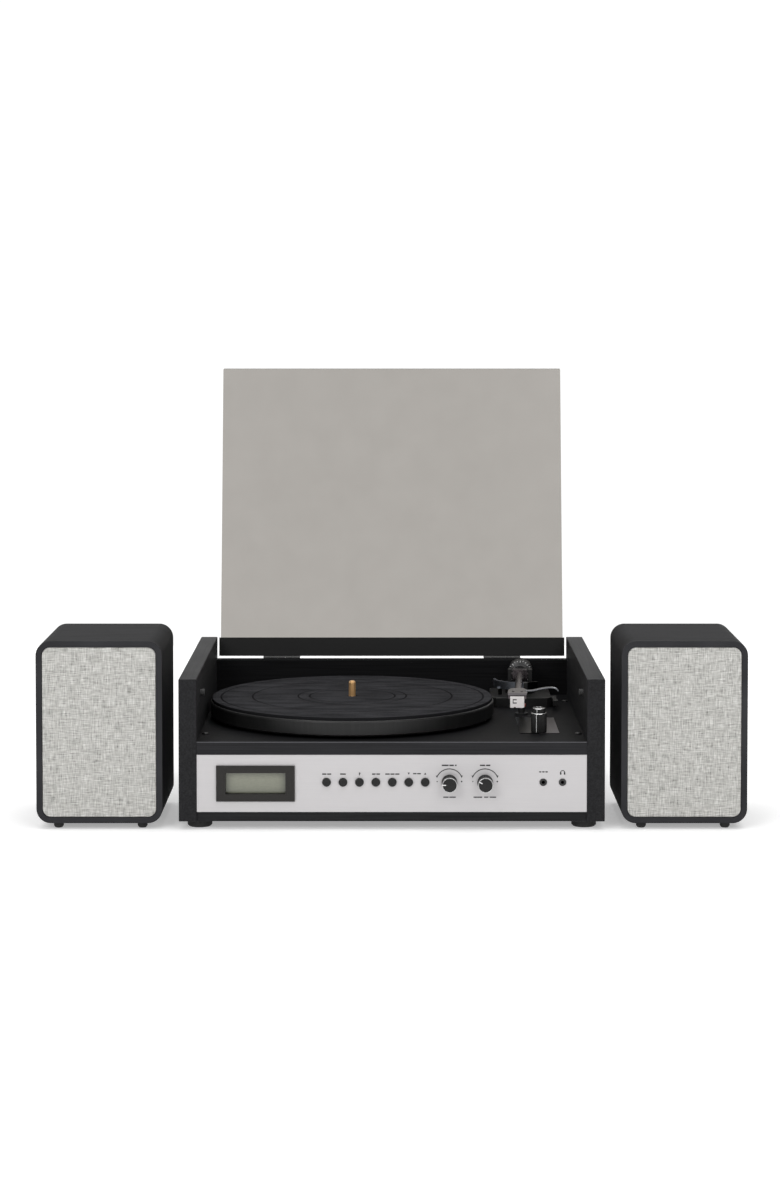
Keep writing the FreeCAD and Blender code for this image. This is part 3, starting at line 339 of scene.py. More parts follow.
paints = {
    "cheek": grained("black_oak_cheek", cool(0.01), cool(0.022), 0.6, 650, DEEPWISE, 0.00006,
                     0.0006, cool(0.05), Specular_IOR_Level=0.12),
    "board": grained("black_oak_board", cool(0.01), cool(0.019), 0.58, 650, LENGTHWISE, 0.00004,
                     0.0009, cool(0.12), Specular_IOR_Level=0.12),
    # The rear board is the same black wrap painted darker, as painted shade.
    "rear": grained("rear_wrap", cool(0.004), cool(0.009), 0.6, 650, LENGTHWISE, 0.00004,
                    0.0006, cool(0.05), Specular_IOR_Level=0.06),
    "deck": wrapped_deck(),
    "veneer": wrapped_cabinet(),
    "fascia": grained("satin_silver", (0.549, 0.535, 0.541), (0.564, 0.55, 0.556), 0.45, 900,
                      LENGTHWISE, 0.000002, 0.0003, grey(0.7), Metallic=0.25),
    "plastic": grained("black_plastic", grey(0.01), grey(0.018), 0.45, 1800, edge=0.0003, edge_wear_and_highlight=grey(0.05),
                       Specular_IOR_Level=0.25),
    "rail": grained("rail_plastic", grey(0.006), grey(0.012), 0.5, 1800, edge=0.0003, edge_wear_and_highlight=grey(0.05),
                    Specular_IOR_Level=0.15),
    "keys": grained("key_plastic", grey(0.009), grey(0.018), 0.42, 1500, edge=0.0003, edge_wear_and_highlight=grey(0.08),
                    Specular_IOR_Level=0.25),
    "bezel": grained("bezel_plastic", grey(0.018, 0.06), grey(0.028, 0.06), 0.5, 1500, edge=0.0004,
                     edge_wear_and_highlight=grey(0.06), Specular_IOR_Level=0.2),
    "window": display(),
    "rubber": grained("black_rubber", grey(0.008), grey(0.02), 0.62, 1400, depth=0.00004, edge_wear_and_highlight=grey(0.03)),
    # The bumpers' light edges are a painted glint on the dark rubber.
    "stud": grained("stud_rubber", grey(0.02), grey(0.035), 0.5, 1200, depth=0.00004, edge_wear_and_highlight=grey(0.4)),
    "steel": brushed("zinc_steel", grey(0.42), grey(0.62), 0.28, (1, 1, 1)),
    "black_steel": brushed("black_steel", grey(0.05), grey(0.1), 0.3, (1, 1, 1)),
    "nickel": brushed("nickel_plate", grey(0.55, 0.03), grey(0.75, 0.03), 0.2, (1, 1, 1)),
    "brass": grained("brass", (0.72, 0.42, 0.18), (0.88, 0.56, 0.27), 0.3, 300, UPRIGHT, 0.000002,
                     Metallic=0.65),
    # The platter's light edges are a painted highlight on the satin black.
    "platter": grained("satin_black_metal", grey(0.006), grey(0.011), 0.44, 500, (1.0, 1.0, 0.05),
                       0.00001, 0.0008, grey(0.35), Metallic=0.25),
    "felt": felt(),
    "arm": brushed("arm_metal", (0.085, 0.073, 0.078), (0.15, 0.132, 0.138), 0.26, DEEPWISE),
    "shell": brushed("shell_metal", (0.1, 0.092, 0.096), (0.18, 0.168, 0.174), 0.3, LENGTHWISE),
    # Painted shade: black on the arc's post and on its right end.
    "arc": blackened("arc_metal", (0.3, 0.33, 0.38), (0.44, 0.47, 0.52), LENGTHWISE,
                     ("LESS_THAN", "Z", arc_shade_top), ("GREATER_THAN", "X", arc_shade_start)),
    "lift": brushed("lift_metal", (0.14, 0.146, 0.16), (0.23, 0.236, 0.255), 0.3, LENGTHWISE),
    "bright": brushed("bright_metal", grey(0.6), grey(0.8), 0.2, LENGTHWISE),
    "weight": grained("weight_black", grey(0.008), grey(0.016), 0.36, 900, DEEPWISE, edge=0.0004,
                      edge_wear_and_highlight=grey(0.12)),
    "white": grained("white_plastic", (0.7, 0.66, 0.65), (0.8, 0.77, 0.76), 0.4, 1500, edge=0.0003,
                     edge_wear_and_highlight=grey(0.85)),
    "red": grained("red_plastic", (0.2, 0.02, 0.015), (0.32, 0.03, 0.02), 0.35, 1500, edge_wear_and_highlight=(0.4, 0.1, 0.08)),
    "hinge": grained("hinge_black", grey(0.012), grey(0.028), 0.34, 1200, edge=0.0003, edge_wear_and_highlight=grey(0.14)),
    "plate": blackened("satin_grey_plate", (0.1, 0.092, 0.098), (0.15, 0.14, 0.148), DEEPWISE,
                       ("LESS_THAN", "X", plate_split)),
    "linen": linen(),
    "cone": grained("paper_cone", grey(0.012), grey(0.035), 0.7, 1500, depth=0.0001, edge_wear_and_highlight=grey(0.05)),
    "can": brushed("motor_can", grey(0.35), grey(0.5), 0.35, (1, 1, 0.05)),
    "smoke": smoked_acrylic(),
    "ink": grained("print_ink", grey(0.01), grey(0.02), 0.6, 2500, edge=0.00002, edge_wear_and_highlight=grey(0.03)),
    "paint": grained("white_paint", grey(0.72), grey(0.84), 0.5, 2500, edge=0.00005, edge_wear_and_highlight=grey(0.9)),
    "front_board": circuit("control_circuit", "Y", *CONTROL_BOARD),
    "main_board": circuit("amplifier_circuit", "Z", *MAIN_BOARD),
}

CAD_PAINT = {
    "cheek": ["left_side_panel", "right_side_panel"],
    "deck": ["deck_board"],
    "rear": ["rear_board"],
    "board": ["base_board", "left_baffle", "right_baffle"],
    "fascia": ["front_panel"],
    "bezel": ["lcd_bezel"],
    "window": ["lcd_window"],
    "front_board": ["control_board"],
    "main_board": ["main_board"],
    "plastic": ["connector_plate", "rear_sockets", "tonearm_base", "tonearm_yoke", "arm_rest", "cue_lever",
                "left_terminal_plate", "right_terminal_plate", "left_grille_frame", "right_grille_frame"],
    "rail": ["lid_bar"],
    "rubber": ["unit_feet", "drive_belt", "left_speaker_feet", "right_speaker_feet"],
    "stud": ["lid_bumpers"],
    "black_steel": ["screws"],
    "steel": ["hinge_pins"],
    "brass": ["spindle", "motor_pulley"],
    "platter": ["platter"],
    "can": ["motor"],
    "arm": ["tonearm_tube"],
    "arc": ["cue_lift_arc"],
    "plate": ["control_plate"],
    "hinge": ["rear_hinge_leaves", "lid_hinge_leaves"],
    "smoke": ["lid_panel"],
    "veneer": ["left_cabinet", "right_cabinet"],
    "cone": ["left_driver", "right_driver"],
}

for paint_name, node_names in CAD_PAINT.items():
    for node_name in node_names:
        for place in frame["nodes"][node_name].material_slots:
            place.material = paints[paint_name]


# ---------------------------------------------------------------- making pieces

def joint(name):
    return next(j for j in frame["joints"] if j["name"] == name)


def centre(node):
    low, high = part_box(node)
    return (low + high) / 2


def add_piece(name, mesh, paint, body, stands_for=()):
    """Put a mesh in the scene as a piece that rides on a body."""
    obj = bpy.data.objects.new(name, mesh)
    bpy.context.scene.collection.objects.link(obj)
    mesh.materials.append(paints[paint])
    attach(obj, body)
    if stands_for:
        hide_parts(*stands_for)
    return obj


def mesh_from(name, points, faces, smooth=True):
    mesh = bpy.data.meshes.new(name)
    mesh.from_pydata(points, [], faces)
    mesh.validate()
    work = bmesh.new()
    work.from_mesh(mesh)
    bmesh.ops.remove_doubles(work, verts=work.verts, dist=1e-7)
    bmesh.ops.recalc_face_normals(work, faces=work.faces)
    work.to_mesh(mesh)
    work.free()
    for face in mesh.polygons:
        face.use_smooth = smooth
    return mesh


def soften(obj, width, segments=2, angle=35):
    """Round the sharp edges of a piece and keep its broad faces flat."""
    bevel = obj.modifiers.new("soft_edges", "BEVEL")
    bevel.width = width
    bevel.segments = segments
    bevel.limit_method = "ANGLE"
    bevel.angle_limit = math.radians(angle)
    bevel.harden_normals = True
    return obj


def crisp(mesh, angle=40):
    """Keep edges steeper than the angle sharp in the shading."""
    mesh.set_sharp_from_angle(angle=math.radians(angle))
    return mesh


FORWARD = Matrix.Rotation(math.radians(90), 4, "X")
BACKWARD = Matrix.Rotation(math.radians(-90), 4, "X")


def lathe(name, profile, frame_matrix, segments=96, flutes=0, flute_depth=0.0, flute_rows=()):
    """Turn (radius, height) points in millimetres about the local Z axis, with flutes cut on some rows."""
    points = []
    for row, (radius, height) in enumerate(profile):
        for step in range(segments):
            turn = 2 * math.pi * step / segments
            cut = 0.0
            if row in flute_rows:
                cut = flute_depth * (0.5 - 0.5 * math.cos(flutes * turn)) ** 2
            reach = max(radius - cut, 0.0) * MM
            local = Vector((reach * math.cos(turn), reach * math.sin(turn), height * MM))
            points.append(frame_matrix @ local)
    faces = []
    for row in range(len(profile) - 1):
        for step in range(segments):
            following = (step + 1) % segments
            faces.append((row * segments + step, row * segments + following,
                          (row + 1) * segments + following, (row + 1) * segments + step))
    return crisp(mesh_from(name, points, faces))


def prism(name, outline, near, far, frame_matrix):
    """A closed solid from an outline in the local XZ plane, between two depths along local Y."""
    count = len(outline)
    points = [frame_matrix @ (Vector((x, depth, z)) * MM) for depth in (near, far) for x, z in outline]
    faces = [tuple(range(count)), tuple(reversed(range(count, 2 * count)))]
    for step in range(count):
        following = (step + 1) % count
        faces.append((step, following, count + following, count + step))
    return mesh_from(name, points, faces, smooth=False)


def joined(name, meshes):
    """One mesh out of several."""
    work = bmesh.new()
    for part in meshes:
        work.from_mesh(part)
    mesh = bpy.data.meshes.new(name)
    work.to_mesh(mesh)
    work.free()
    return mesh


def block(x0, x1, z0, z1):
    return [(x0, z0), (x1, z0), (x1, z1), (x0, z1)]


def smooth_path(points, steps=8):
    """A rounded line through the points."""
    ends = [points[0], *points, points[-1]]
    path = []
    for a, b, c, d in zip(ends, ends[1:], ends[2:], ends[3:]):
        for step in range(steps):
            t = step / steps
            path.append(tuple(
                0.5 * (2 * q + (r - p) * t + (2 * p - 5 * q + 4 * r - s) * t ** 2
                       + (3 * q - p - 3 * r + s) * t ** 3)
                for p, q, r, s in zip(a, b, c, d)))
    path.append(points[-1])
    return path


def strip_outline(path, thickness):
    """The outline of a bent strip of even thickness along a path in a plane."""
    upper, lower = [], []
    for index, (x, z) in enumerate(path):
        before = path[max(index - 1, 0)]
        after = path[min(index + 1, len(path) - 1)]
        run = Vector((after[0] - before[0], after[1] - before[1])).normalized()
        offset = Vector((-run.y, run.x)) * thickness / 2
        upper.append((x + offset.x, z + offset.y))
        lower.append((x - offset.x, z - offset.y))
    return upper + lower[::-1]


# ---------------------------------------------------------------- speakers

CLOTH_CORNER = 8.2


def rounded_ring(half_width, half_height, radius, steps=10):
    """Points round a rectangle with rounded corners, about the origin."""
    ring = []
    corners = ((1, 1, 0), (-1, 1, 90), (-1, -1, 180), (1, -1, 270))
    for sign_x, sign_z, start in corners:
        for step in range(steps + 1):
            turn = math.radians(start + 90 * step / steps)
            ring.append((sign_x * (half_width - radius) + radius * math.cos(turn),
                         sign_z * (half_height - radius) + radius * math.sin(turn)))
    return ring


def grille_cloth(side):
    """Cloth stretched over the grille frame: nearly flat, rolled back over the frame's edge."""
    low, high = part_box(side + "_grille_cloth")
    middle = (low + high) / 2
    half_width = (high.x - low.x) / 2 / MM
    half_height = (high.z - low.z) / 2 / MM
    rows = [(0.0, 1.4), (0.0, 0.9), (0.25, 0.35), (0.8, 0.08), (1.8, 0.0), (4.0, 0.03), (9.0, 0.1)]
    rows += [(inset, 0.12) for inset in (16.0, 24.0, 34.0, 46.0, 56.0)]
    points = []
    for inset, back in rows:
        corner = max(CLOTH_CORNER - inset, 0.4)
        for x, z in rounded_ring(half_width - inset, half_height - inset, corner):
            points.append((middle.x + x * MM, low.y + back * MM, middle.z + z * MM))
    size = len(points) // len(rows)
    faces = []
    for row in range(len(rows) - 1):
        for step in range(size):
            following = (step + 1) % size
            faces.append((row * size + step, row * size + following,
                          (row + 1) * size + following, (row + 1) * size + step))
    faces.append(tuple((len(rows) - 1) * size + step for step in range(size)))
    cloth = add_piece(side + "_grille_linen", mesh_from(side + "_grille_linen", points, faces), "linen",
                      side + "_grille", [side + "_grille_cloth"])


def speaker_back(side):
    """Red and black caps on the tabs of the speaker's terminals."""
    low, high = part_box(side + "_terminal_plate")
    middle = (low + high) / 2
    place_here = Matrix.Translation((middle.x, high.y, low.z))
    for sign, paint, slot in ((-1, "red", "black_plastic"), (1, "keys", "button_plastic")):
        outline = [(sign * 12 - 5, 17.5), (sign * 12 + 5, 17.5), (sign * 12 + 5, 27), (sign * 12 + 3, 29),
                   (sign * 12 - 3, 29), (sign * 12 - 5, 27)]
        name = side + "_terminal_cap_" + paint
        cap = add_piece(name, prism(name, outline, -0.2, 1.2, place_here), paint, side + "_speaker")
        soften(cap, 0.0005)


for speaker_side in ("left", "right"):
    grille_cloth(speaker_side)
    speaker_back(speaker_side)


# ---------------------------------------------------------------- record platter

def slipmat():
    """Felt mat with shallow pressed rings, lying on the platter."""
    low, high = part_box("slipmat")
    thick = (high.z - low.z) / MM
    edge = (high.x - low.x) / 2 / MM
    profile = [(edge, 0.0), (edge, thick - 0.9), (edge - 0.25, thick - 0.3), (edge - 0.9, thick)]
    for ring in (138.0, 105.0, 57.0, 45.0):
        profile += [(ring + 1.3, thick), (ring + 0.5, thick - 0.6), (ring - 0.5, thick - 0.6),
                    (ring - 1.3, thick)]
    profile += [(5.2, thick), (4.7, thick - 0.5), (4.65, 0.0)]
    middle = centre("slipmat")
    here = Matrix.Translation((middle.x, middle.y, low.z))
    mat = add_piece("felt_mat", lathe("felt_mat", profile, here, 180), "felt", "platter", ["slipmat"])


slipmat()


# ---------------------------------------------------------------- fascia controls

panel_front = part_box("front_panel")[0].y


def fascia_frame(node):
    """The place where a control's axis meets the fascia, with local Z towards the front."""
    middle = centre(node)
    return Matrix.Translation((middle.x, panel_front, middle.z)) @ FORWARD


def front_knob(node, body, pointer_angle):
    """A fluted knob with a bright bevelled ring and a white pointer."""
    reach = (panel_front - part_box(node)[0].y) / MM
    here = fascia_frame(node)
    drum = [(7.8, 0.8), (7.8, 4.6), (7.6, 4.9), (7.4, 5.0), (7.5, 5.4), (7.4, reach - 1.5),
            (7.0, reach - 1.2), (6.9, reach - 0.4), (6.2, reach - 0.25), (0.0, reach - 0.1)]
    knob = lathe(node + "_drum", drum, here, 168, 28, 0.75, (4, 5))
    add_piece(node + "_drum", knob, "keys", body, [node])
    ring = [(6.9, reach - 1.7), (7.5, reach - 1.6), (7.5, reach - 0.8), (7.2, reach - 0.2),
            (6.9, reach - 0.2), (6.8, reach - 0.5)]
    add_piece(node + "_ring", lathe(node + "_ring", ring, here, 96), "bright", body)
    turn = Matrix.Rotation(math.radians(pointer_angle), 4, "Z")
    line = prism(node + "_pointer", block(3.6, 7.55, reach - 0.6, reach), -0.45, 0.45, here @ turn)
    soften(add_piece(node + "_pointer", line, "paint", body), 0.0001)


BUTTON_RADIUS = 4.15


def push_button(index):
    """A round key with a shallow dish in its face."""
    node = "push_button_%d" % index
    radius = BUTTON_RADIUS
    reach = (panel_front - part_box(node)[0].y) / MM
    profile = [(radius, -1.0), (radius, reach - 0.5), (radius - 0.15, reach - 0.15), (radius - 0.5, reach),
               (radius - 1.1, reach), (radius - 1.7, reach - 0.35), (1.0, reach - 0.5), (0.0, reach - 0.5)]
    add_piece(node + "_cap", lathe(node + "_cap", profile, fascia_frame(node), 64), "keys",
              "button_%d" % index, [node])


front_knob("volume_knob", "volume", 178)
front_knob("tuning_knob", "tuning", 152)
for button_index in range(1, 8):
    push_button(button_index)


# ---------------------------------------------------------------- fascia print

def bar(x, z, width, height):
    return block(x - width / 2, x + width / 2, z - height / 2, z + height / 2)


def arc_outline(radius, first, last, thickness, steps=40):
    angles = [math.radians(first + (last - first) * step / steps) for step in range(steps + 1)]
    return strip_outline([(radius * math.cos(a), radius * math.sin(a)) for a in angles], thickness)


def dot_outline(x, z, radius, steps=20):
    angles = [2 * math.pi * step / steps for step in range(steps)]
    return [(x + radius * math.cos(a), z + radius * math.sin(a)) for a in angles]


def knob_marks(above, below):
    """The two-headed arrow round a knob, a dot under each head, and dashes above and below."""
    shapes = [arc_outline(13.4, 154, 26, 0.9)]
    for sign in (-1, 1):
        tip = (sign * 12.3, 4.2)
        shapes.append([(tip[0] - 1.3, tip[1] + 2.5), (tip[0] + 1.1, tip[1] + 2.5), tip])
        shapes.append(dot_outline(sign * 12.2, 0.7, 0.6 + 0.2 * (sign > 0)))
    shapes += [bar(x, 17.0, width, 1.4) for x, width in above]
    shapes += [bar(x, -15.0, width, 1.2) for x, width in below]
    return shapes


def headphone_mark():
    """A small head band with two ear pads."""
    band = arc_outline(2.1, 180, 0, 0.8, 20)
    lifted = [(x, z + 9.6) for x, z in band]
    return [lifted, block(-2.7, -1.2, 7.6, 10.0), block(1.2, 2.7, 7.6, 10.0)]


def print_on_fascia(name, node, shapes):
    """Thin ink shapes on the fascia, in millimetres from a control's axis."""
    middle = centre(node)
    here = Matrix.Translation((middle.x, panel_front, middle.z))
    meshes = [prism(name, shape, -0.06, 0.02, here) for shape in shapes]
    add_piece(name, joined(name, meshes), "ink", "root")


print_on_fascia("volume_print", "volume_knob",
                knob_marks([(-4.2, 6.8), (2.2, 4.4), (6.4, 1.6)], [(-3.4, 5.4), (3.2, 6.4)]))
print_on_fascia("tuning_print", "tuning_knob",
                knob_marks([(-2.6, 5.2), (3.1, 4.2)], [(-7.2, 8.6), (1.2, 4.2), (7.8, 6.4)]))
# How far right of the last button the two jacks are
HEADPHONE_JACK = 137.0
LINE_INPUT_JACK = 117.8

print_on_fascia("headphone_print", "push_button_7",
                [[(x + HEADPHONE_JACK, z) for x, z in shape] for shape in headphone_mark()])
print_on_fascia("line_input_print", "push_button_7",
                [bar(LINE_INPUT_JACK + x, 10.4, 2.3, 1.2) for x in (-3.2, 0.0, 3.2)])

BUTTON_DASHES = {1: [(-2.2, 4.2), (2.7, 4.0)], 2: [(0.0, 5.6)], 4: [(-2.0, 3.6), (2.3, 3.6)],
                 5: [(-4.8, 4.4), (0.2, 4.0), (5.0, 4.2)]}
for button_index, dashes in BUTTON_DASHES.items():
    print_on_fascia("button_%d_print" % button_index, "push_button_%d" % button_index,
                    [bar(x, 8.2, width, 1.3) for x, width in dashes])
print_on_fascia("button_3_print", "push_button_3", [bar(0, 8.4, 0.9, 2.8), bar(0.8, 9.1, 0.9, 0.7)])
print_on_fascia("button_6_print", "push_button_6", [[(-1.2, 9.7), (1.2, 9.7), (0.0, 7.7)],
                                                    bar(6.0, 8.6, 3.4, 1.2), bar(10.2, 8.6, 3.6, 1.2)])
print_on_fascia("button_7_print", "push_button_7", [[(-1.2, 7.7), (1.2, 7.7), (0.0, 9.7)]])


# ---------------------------------------------------------------- turntable controls

def speed_knob():
    """A knurled knob in two tiers with bright rims and a white line, on a shaft through the plate."""
    low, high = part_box("speed_knob")
    middle = centre("speed_knob")
    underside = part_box("control_plate")[1].z + 0.4 * MM
    here = Matrix.Translation((middle.x, middle.y, underside))
    top = (high.z - underside) / MM
    step = top - 5.0
    shaft_end = (low.z - underside) / MM
    lower = [(0.0, shaft_end), (3.0, shaft_end), (3.0, 0.0), (7.6, 0.0), (8.0, 0.6), (8.0, step - 0.8),
             (7.5, step - 0.2), (0.0, step - 0.2)]
    add_piece("speed_knob_lower", lathe("speed_knob_lower", lower, here, 168, 28, 0.7, (4, 5)), "keys",
              "speed_selector", ["speed_knob"])
    upper = [(6.1, step - 0.3), (6.3, step + 0.4), (6.3, top - 0.8), (5.8, top - 0.2), (0.0, top - 0.35)]
    add_piece("speed_knob_upper", lathe("speed_knob_upper", upper, here, 168, 28, 0.5, (1, 2)), "keys",
              "speed_selector")
    for name, radius, level in (("speed_rim_lower", 8.0, step), ("speed_rim_upper", 6.4, top)):
        rim = [(radius - 0.6, level - 1.0), (radius, level - 0.9), (radius, level - 0.3),
               (radius - 0.3, level), (radius - 0.55, level), (radius - 0.6, level - 0.5)]
        add_piece(name, lathe(name, rim, here, 96), "bright", "speed_selector")
    turn = Matrix.Rotation(math.radians(-22), 4, "Z")
    lines = [prism("pointer", block(-0.22, 0.22, 0.7, step - 1.2), -8.05, -7.5, here @ turn),
             prism("pointer", block(-0.22, 0.22, step + 0.5, top - 1.2), -6.35, -5.8, here @ turn)]
    add_piece("speed_pointer", joined("speed_pointer", lines), "paint", "speed_selector")


speed_knob()


SCREW_HEAD = 3.4
SCREW_ROWS_APART = 216.0


def deck_screw_marks():
    """Dark crosses on the heads of the four deck screws: painted shade that stands for their cross recesses.
    """
    low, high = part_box("screws")
    deck_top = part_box("deck_board")[1].z
    side = high.x - SCREW_HEAD * MM
    front_row = low.y + SCREW_HEAD * MM
    turn = 20
    for x in (-side, side):
        for y in (front_row, front_row + SCREW_ROWS_APART * MM):
            here = Matrix.Translation((x, y, deck_top)) @ Matrix.Rotation(math.radians(turn), 4, "Z")
            name = "deck_screw_cross_%d" % turn
            arms = [prism(name, block(-a, a, 1.5, 1.64), -b, b, here) for a, b in ((1.8, 0.3), (0.3, 1.8))]
            add_piece(name, joined(name, arms), "ink", "root")
            turn += 31


deck_screw_marks()


# ---------------------------------------------------------------- tonearm

pivot = Vector(joint("arm_swing")["pos_m"])
rest_turn = math.radians(-3.5)
arm_matrix = Matrix.Translation((pivot.x, pivot.y, 0)) @ Matrix.Rotation(rest_turn, 4, "Z")
tube_height = 118.5
shell_front = -189.0
shell_top = 126.4
shell_thick = 6.4


def tube_frame(depth):
    """A place on the arm tube's axis, with local Z towards the back."""
    return arm_matrix @ Matrix.Translation((0, depth * MM, tube_height * MM)) @ BACKWARD


def headshell():
    """The shell's two layers with bevelled edges, the neck, the collar and two slotted screws."""
    plan = [(-10, shell_front), (10, shell_front), (10, -166), (7.5, -157), (5.4, -153.5), (-5.4, -153.5),
            (-7.5, -157), (-10, -166)]
    inner = [(x * 0.93, y + 0.6) for x, y in plan]
    lying = arm_matrix @ Matrix(((1, 0, 0, 0), (0, 0, 1, 0), (0, -1, 0, 0), (0, 0, 0, 1)))
    split = shell_top - 3.0
    plate = prism("shell_plate", plan, -shell_top, -split, lying)
    soften(add_piece("shell_plate", plate, "shell", "arm", ["headshell"]), 0.0007, 3)
    under = prism("shell_under", inner, -split - 0.1, shell_thick - shell_top, lying)
    soften(add_piece("shell_under", under, "arm", "arm"), 0.0005)
    collar = [(4.1, 0.0), (5.2, 0.0), (5.6, 0.5), (5.6, 2.2), (5.2, 2.6), (5.2, 4.0), (5.6, 4.4), (5.6, 12.0),
              (5.1, 12.8), (4.1, 13.0)]
    add_piece("shell_collar", lathe("shell_collar", collar, tube_frame(-157), 64), "arm", "arm")
    for side, x in (("left", -4.4), ("right", 4.4)):
        name = "shell_slot_" + side
        slot_plan = [(x + u * 0.9, v * 5.0 - 178.0) for u, v in dot_outline(0, 0, 1.0, 24)]
        dark = prism(name, slot_plan, -shell_top - 0.04, -shell_top + 0.2, lying)
        add_piece(name, dark, "ink", "arm")
        head = arm_matrix @ Matrix.Translation((x * MM, -178 * MM, shell_top * MM))
        cap = [(1.5, 0.0), (1.5, 0.5), (1.1, 0.9), (0.0, 1.0)]
        add_piece(name + "_screw", lathe(name + "_screw", cap, head, 32), "shell", "arm")


def finger_lift():
    """A thin strip that leaves the shell's right side, rises and curls over."""
    path = smooth_path([(7.0, 0.0), (12.0, 0.1), (17.0, 0.7), (23.0, 2.1), (29.0, 3.2), (35.0, 3.5),
                        (39.5, 2.5), (41.8, 0.1)])
    outline = [(x, z + shell_top) for x, z in strip_outline(path, 1.1)]
    strip = prism("finger_lift", outline, -175.0, -169.8, arm_matrix)
    soften(add_piece("finger_lift", strip, "lift", "arm"), 0.0003, 2, 50)


def cartridge():
    """A white pickup guard with dark marks and a notch below, the dark body and a red stylus holder."""
    front = [(-7.3, 123.0), (-7.3, 112.0), (-6.8, 111.5), (-3.6, 111.5), (-3.3, 112.4), (-1.7, 112.4),
             (-1.4, 111.5), (6.4, 111.5), (7.3, 112.6), (7.0, 123.0)]
    guard = prism("pickup_guard", front, -192.0, -189.1, arm_matrix)
    soften(add_piece("pickup_guard", guard, "white", "arm", ["cartridge"]), 0.0004)
    under = prism("pickup_body", block(-7.1, 7.1, 114.2, 119.9), -189.3, -165.0, arm_matrix)
    soften(add_piece("pickup_body", under, "keys", "arm"), 0.0005)
    bars = [block(-4.3, -0.6, 119.4, 120.5), block(-4.3, -0.6, 116.0, 117.1), block(-4.6, -3.9, 116.0, 120.5)]
    marks = [prism("mark", outline, -192.06, -191.8, arm_matrix) for outline in bars]
    add_piece("pickup_marks", joined("pickup_marks", marks), "ink", "arm")
    holder = prism("stylus_holder", [(4.6, 112.2), (8.4, 112.5), (8.4, 114.6), (4.6, 115.4)], -189.0, -180.0,
                   arm_matrix)
    soften(add_piece("stylus_holder", holder, "red", "arm"), 0.0004)


def counterweight():
    """The balance weight with a knurled grip, and the dial with white marks on its front."""
    here = tube_frame(0)
    grip = [(3.2, 24.4), (12.6, 24.4), (13.2, 25.0), (13.2, 37.6), (12.4, 38.9), (4.0, 39.0), (3.2, 38.2)]
    add_piece("weight_grip", lathe("weight_grip", grip, here, 180, 36, 0.5, (2, 3)), "weight", "arm_weight",
              ["counterweight"])
    dial = [(3.2, 14.2), (7.6, 14.0), (8.0, 14.4), (8.0, 17.6), (9.4, 18.0), (12.4, 18.6), (13.1, 19.3),
            (13.1, 23.8), (12.6, 24.4), (3.2, 24.4)]
    add_piece("weight_dial", lathe("weight_dial", dial, here, 120), "weight", "arm_weight")
    marks = []
    for step in range(24):
        long_mark = step % 3 == 0
        turn = Matrix.Rotation(math.radians(15 * step), 4, "Z")
        reach = 2.3 if long_mark else 1.2
        marks.append(prism("tick", block(12.5 - reach, 12.5, 17.95, 18.72), -0.26, 0.26, here @ turn))
    add_piece("weight_marks", joined("weight_marks", marks), "paint", "arm_weight")


headshell()
finger_lift()
cartridge()
counterweight()


# ---------------------------------------------------------------- back

SOCKET_HEIGHT = 48.0
PHONO_SOCKETS = (("left", -66.0, "white"), ("right", -50.0, "red"))
TERMINALS = (4.0, 22.0, 40.0, 58.0)


def phono_rings():
    """Bright sleeves and coloured cores on the phono sockets."""
    plate_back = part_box("connector_plate")[1].y
    sleeve = [(4.15, 0.2), (4.32, 0.2), (4.32, 7.6), (4.15, 7.9), (3.3, 7.95), (3.3, 7.4)]
    core = [(3.3, 7.6), (3.2, 8.02), (1.9, 8.02), (1.65, 7.7), (1.65, 6.0)]
    for side, x, colour in PHONO_SOCKETS:
        here = Matrix.Translation((x * MM, plate_back, SOCKET_HEIGHT * MM)) @ BACKWARD
        for name, profile, paint, slot in (("phono_sleeve_", sleeve, "nickel", "steel"),
                                           ("phono_core_", core, colour, "white_plastic")):
            add_piece(name + side, lathe(name + side, profile, here, 64), paint, "root")


def terminal_caps():
    """Red and black caps on the tabs of the speaker terminals."""
    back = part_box("rear_sockets")[1].y
    outline = [(-4.2, 46.6), (4.2, 46.6), (4.2, 55.6), (2.8, 57.4), (-2.8, 57.4), (-4.2, 55.6)]
    for index, x in enumerate(TERMINALS):
        name = "speaker_tab_%d" % (index + 1)
        cap = prism(name, outline, -5.0, -3.4, Matrix.Translation((x * MM, back, 0)))
        soften(add_piece(name, cap, "red" if index % 2 else "keys", "root"), 0.0005)


phono_rings()
terminal_caps()


# ---------------------------------------------------------------- studio

def studio_floor():
    """A plain pale floor with a little light of its own, and more of it away from the object."""
    corners = [(-8, -9, 0), (8, -9, 0), (8, 1.2, 0), (-8, 1.2, 0)]
    floor = bpy.data.objects.new("studio_floor", mesh_from("studio_floor", corners, [(0, 1, 2, 3)]))
    bpy.context.scene.collection.objects.link(floor)
    paint = Paint("studio_floor", Roughness=0.9, Specular_IOR_Level=0.0)
    tone = paint.ramp(paint.noise(3.0), (0.3, grey(0.8)), (0.7, grey(0.82)))
    reach = paint.add("VectorMath", {"operation": "LENGTH"}, Vector=paint.place()).outputs["Value"]
    away = paint.math("DIVIDE", paint.math("SUBTRACT", reach, 1.4), 2.5)
    paint.set(Base_Color=tone, Emission_Color=(1, 1, 1, 1), Emission_Strength=paint.span(away, 0.35, 1.0))
    floor.data.materials.append(paint.material)


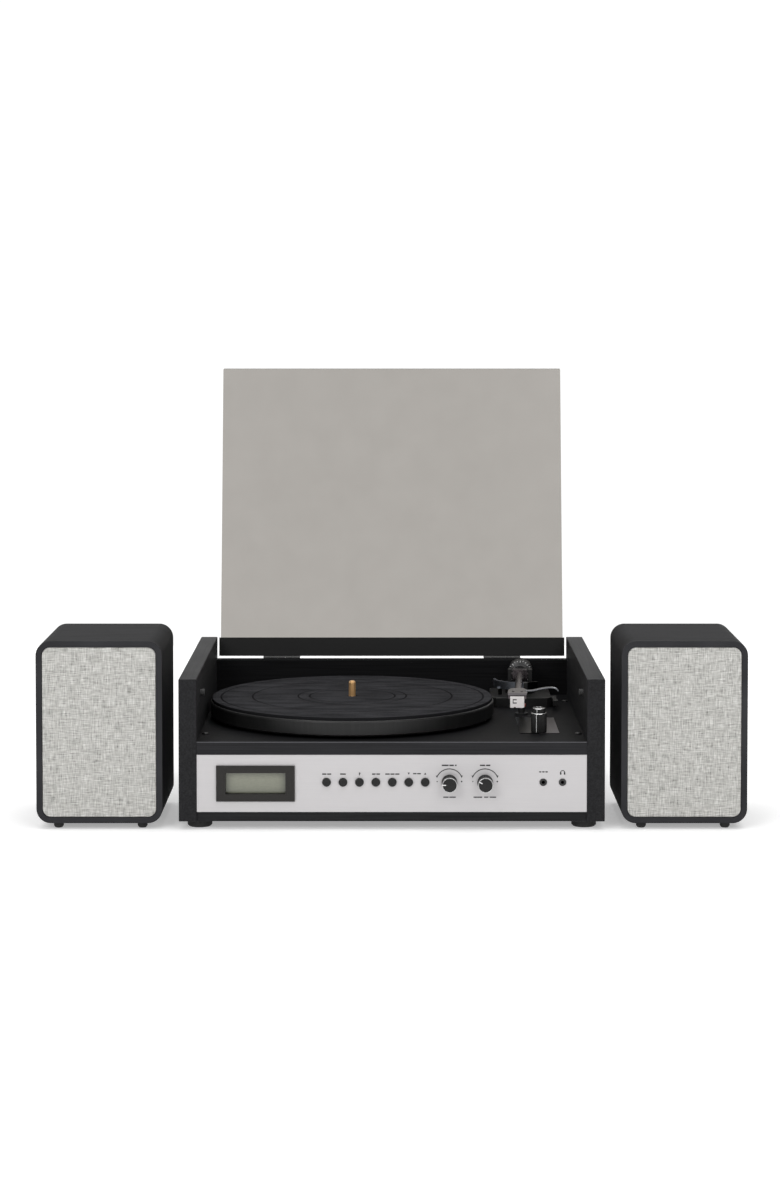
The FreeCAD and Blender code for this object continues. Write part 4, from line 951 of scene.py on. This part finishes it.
def softbox(name, place_at, target, size, power):
    """A rectangular light that points at the target and isn't seen itself."""
    data = bpy.data.lights.new(name, "AREA")
    data.shape = "RECTANGLE"
    data.size, data.size_y = size
    data.energy = power
    light = bpy.data.objects.new(name, data)
    light.location = place_at
    light.rotation_euler = (Vector(target) - Vector(place_at)).to_track_quat("-Z", "Y").to_euler()
    light.visible_camera = False
    bpy.context.scene.collection.objects.link(light)


def studio_air(light, backdrop):
    """White surroundings: a dim light all round, and a bright backdrop behind the object."""
    world = bpy.data.worlds.new("studio_air")
    world.use_nodes = True
    tree = world.node_tree
    dim = tree.nodes["Background"]
    bright = tree.nodes.new("ShaderNodeBackground")
    for node, strength in ((dim, light), (bright, backdrop)):
        node.inputs["Color"].default_value = (1, 1, 1, 1)
        node.inputs["Strength"].default_value = strength
    both = tree.nodes.new("ShaderNodeMixShader")
    path = tree.nodes.new("ShaderNodeLightPath")
    tree.links.new(path.outputs["Is Camera Ray"], both.inputs["Fac"])
    tree.links.new(dim.outputs["Background"], both.inputs[1])
    tree.links.new(bright.outputs["Background"], both.inputs[2])
    tree.links.new(both.outputs["Shader"], tree.nodes["World Output"].inputs["Surface"])
    bpy.context.scene.world = world


def studio_camera():
    """A long lens in front of the fascia, a little above the object and looking slightly down."""
    data = bpy.data.cameras.new("studio_camera")
    data.sensor_width = 36.0
    data.lens = 81.54
    data.shift_x = -0.0015
    data.shift_y = -0.1465
    data.clip_end = 50.0
    camera = bpy.data.objects.new("studio_camera", data)
    camera.location = (0.0, panel_front - 2.6794, 0.5407)
    camera.rotation_euler = (math.radians(90 - 2.865), 0, 0)
    bpy.context.scene.collection.objects.link(camera)
    bpy.context.scene.camera = camera


studio_floor()
studio_air(0.18, 1.06)
softbox("top_box", (0.0, -0.3, 2.6), (0.0, -0.1, 0.1), (3.6, 2.2), 50)
softbox("back_box", (0.0, 1.5, 1.2), (0.0, 0.0, 0.9), (4.0, 2.4), 34)
softbox("left_box", (-1.5, -3.0, 1.8), (0.0, 0.0, 0.2), (1.6, 1.6), 39)
softbox("right_box", (1.3, -3.0, 1.7), (0.0, 0.0, 0.2), (1.6, 1.6), 27)
studio_camera()
bpy.context.scene.view_settings.view_transform = "Standard"
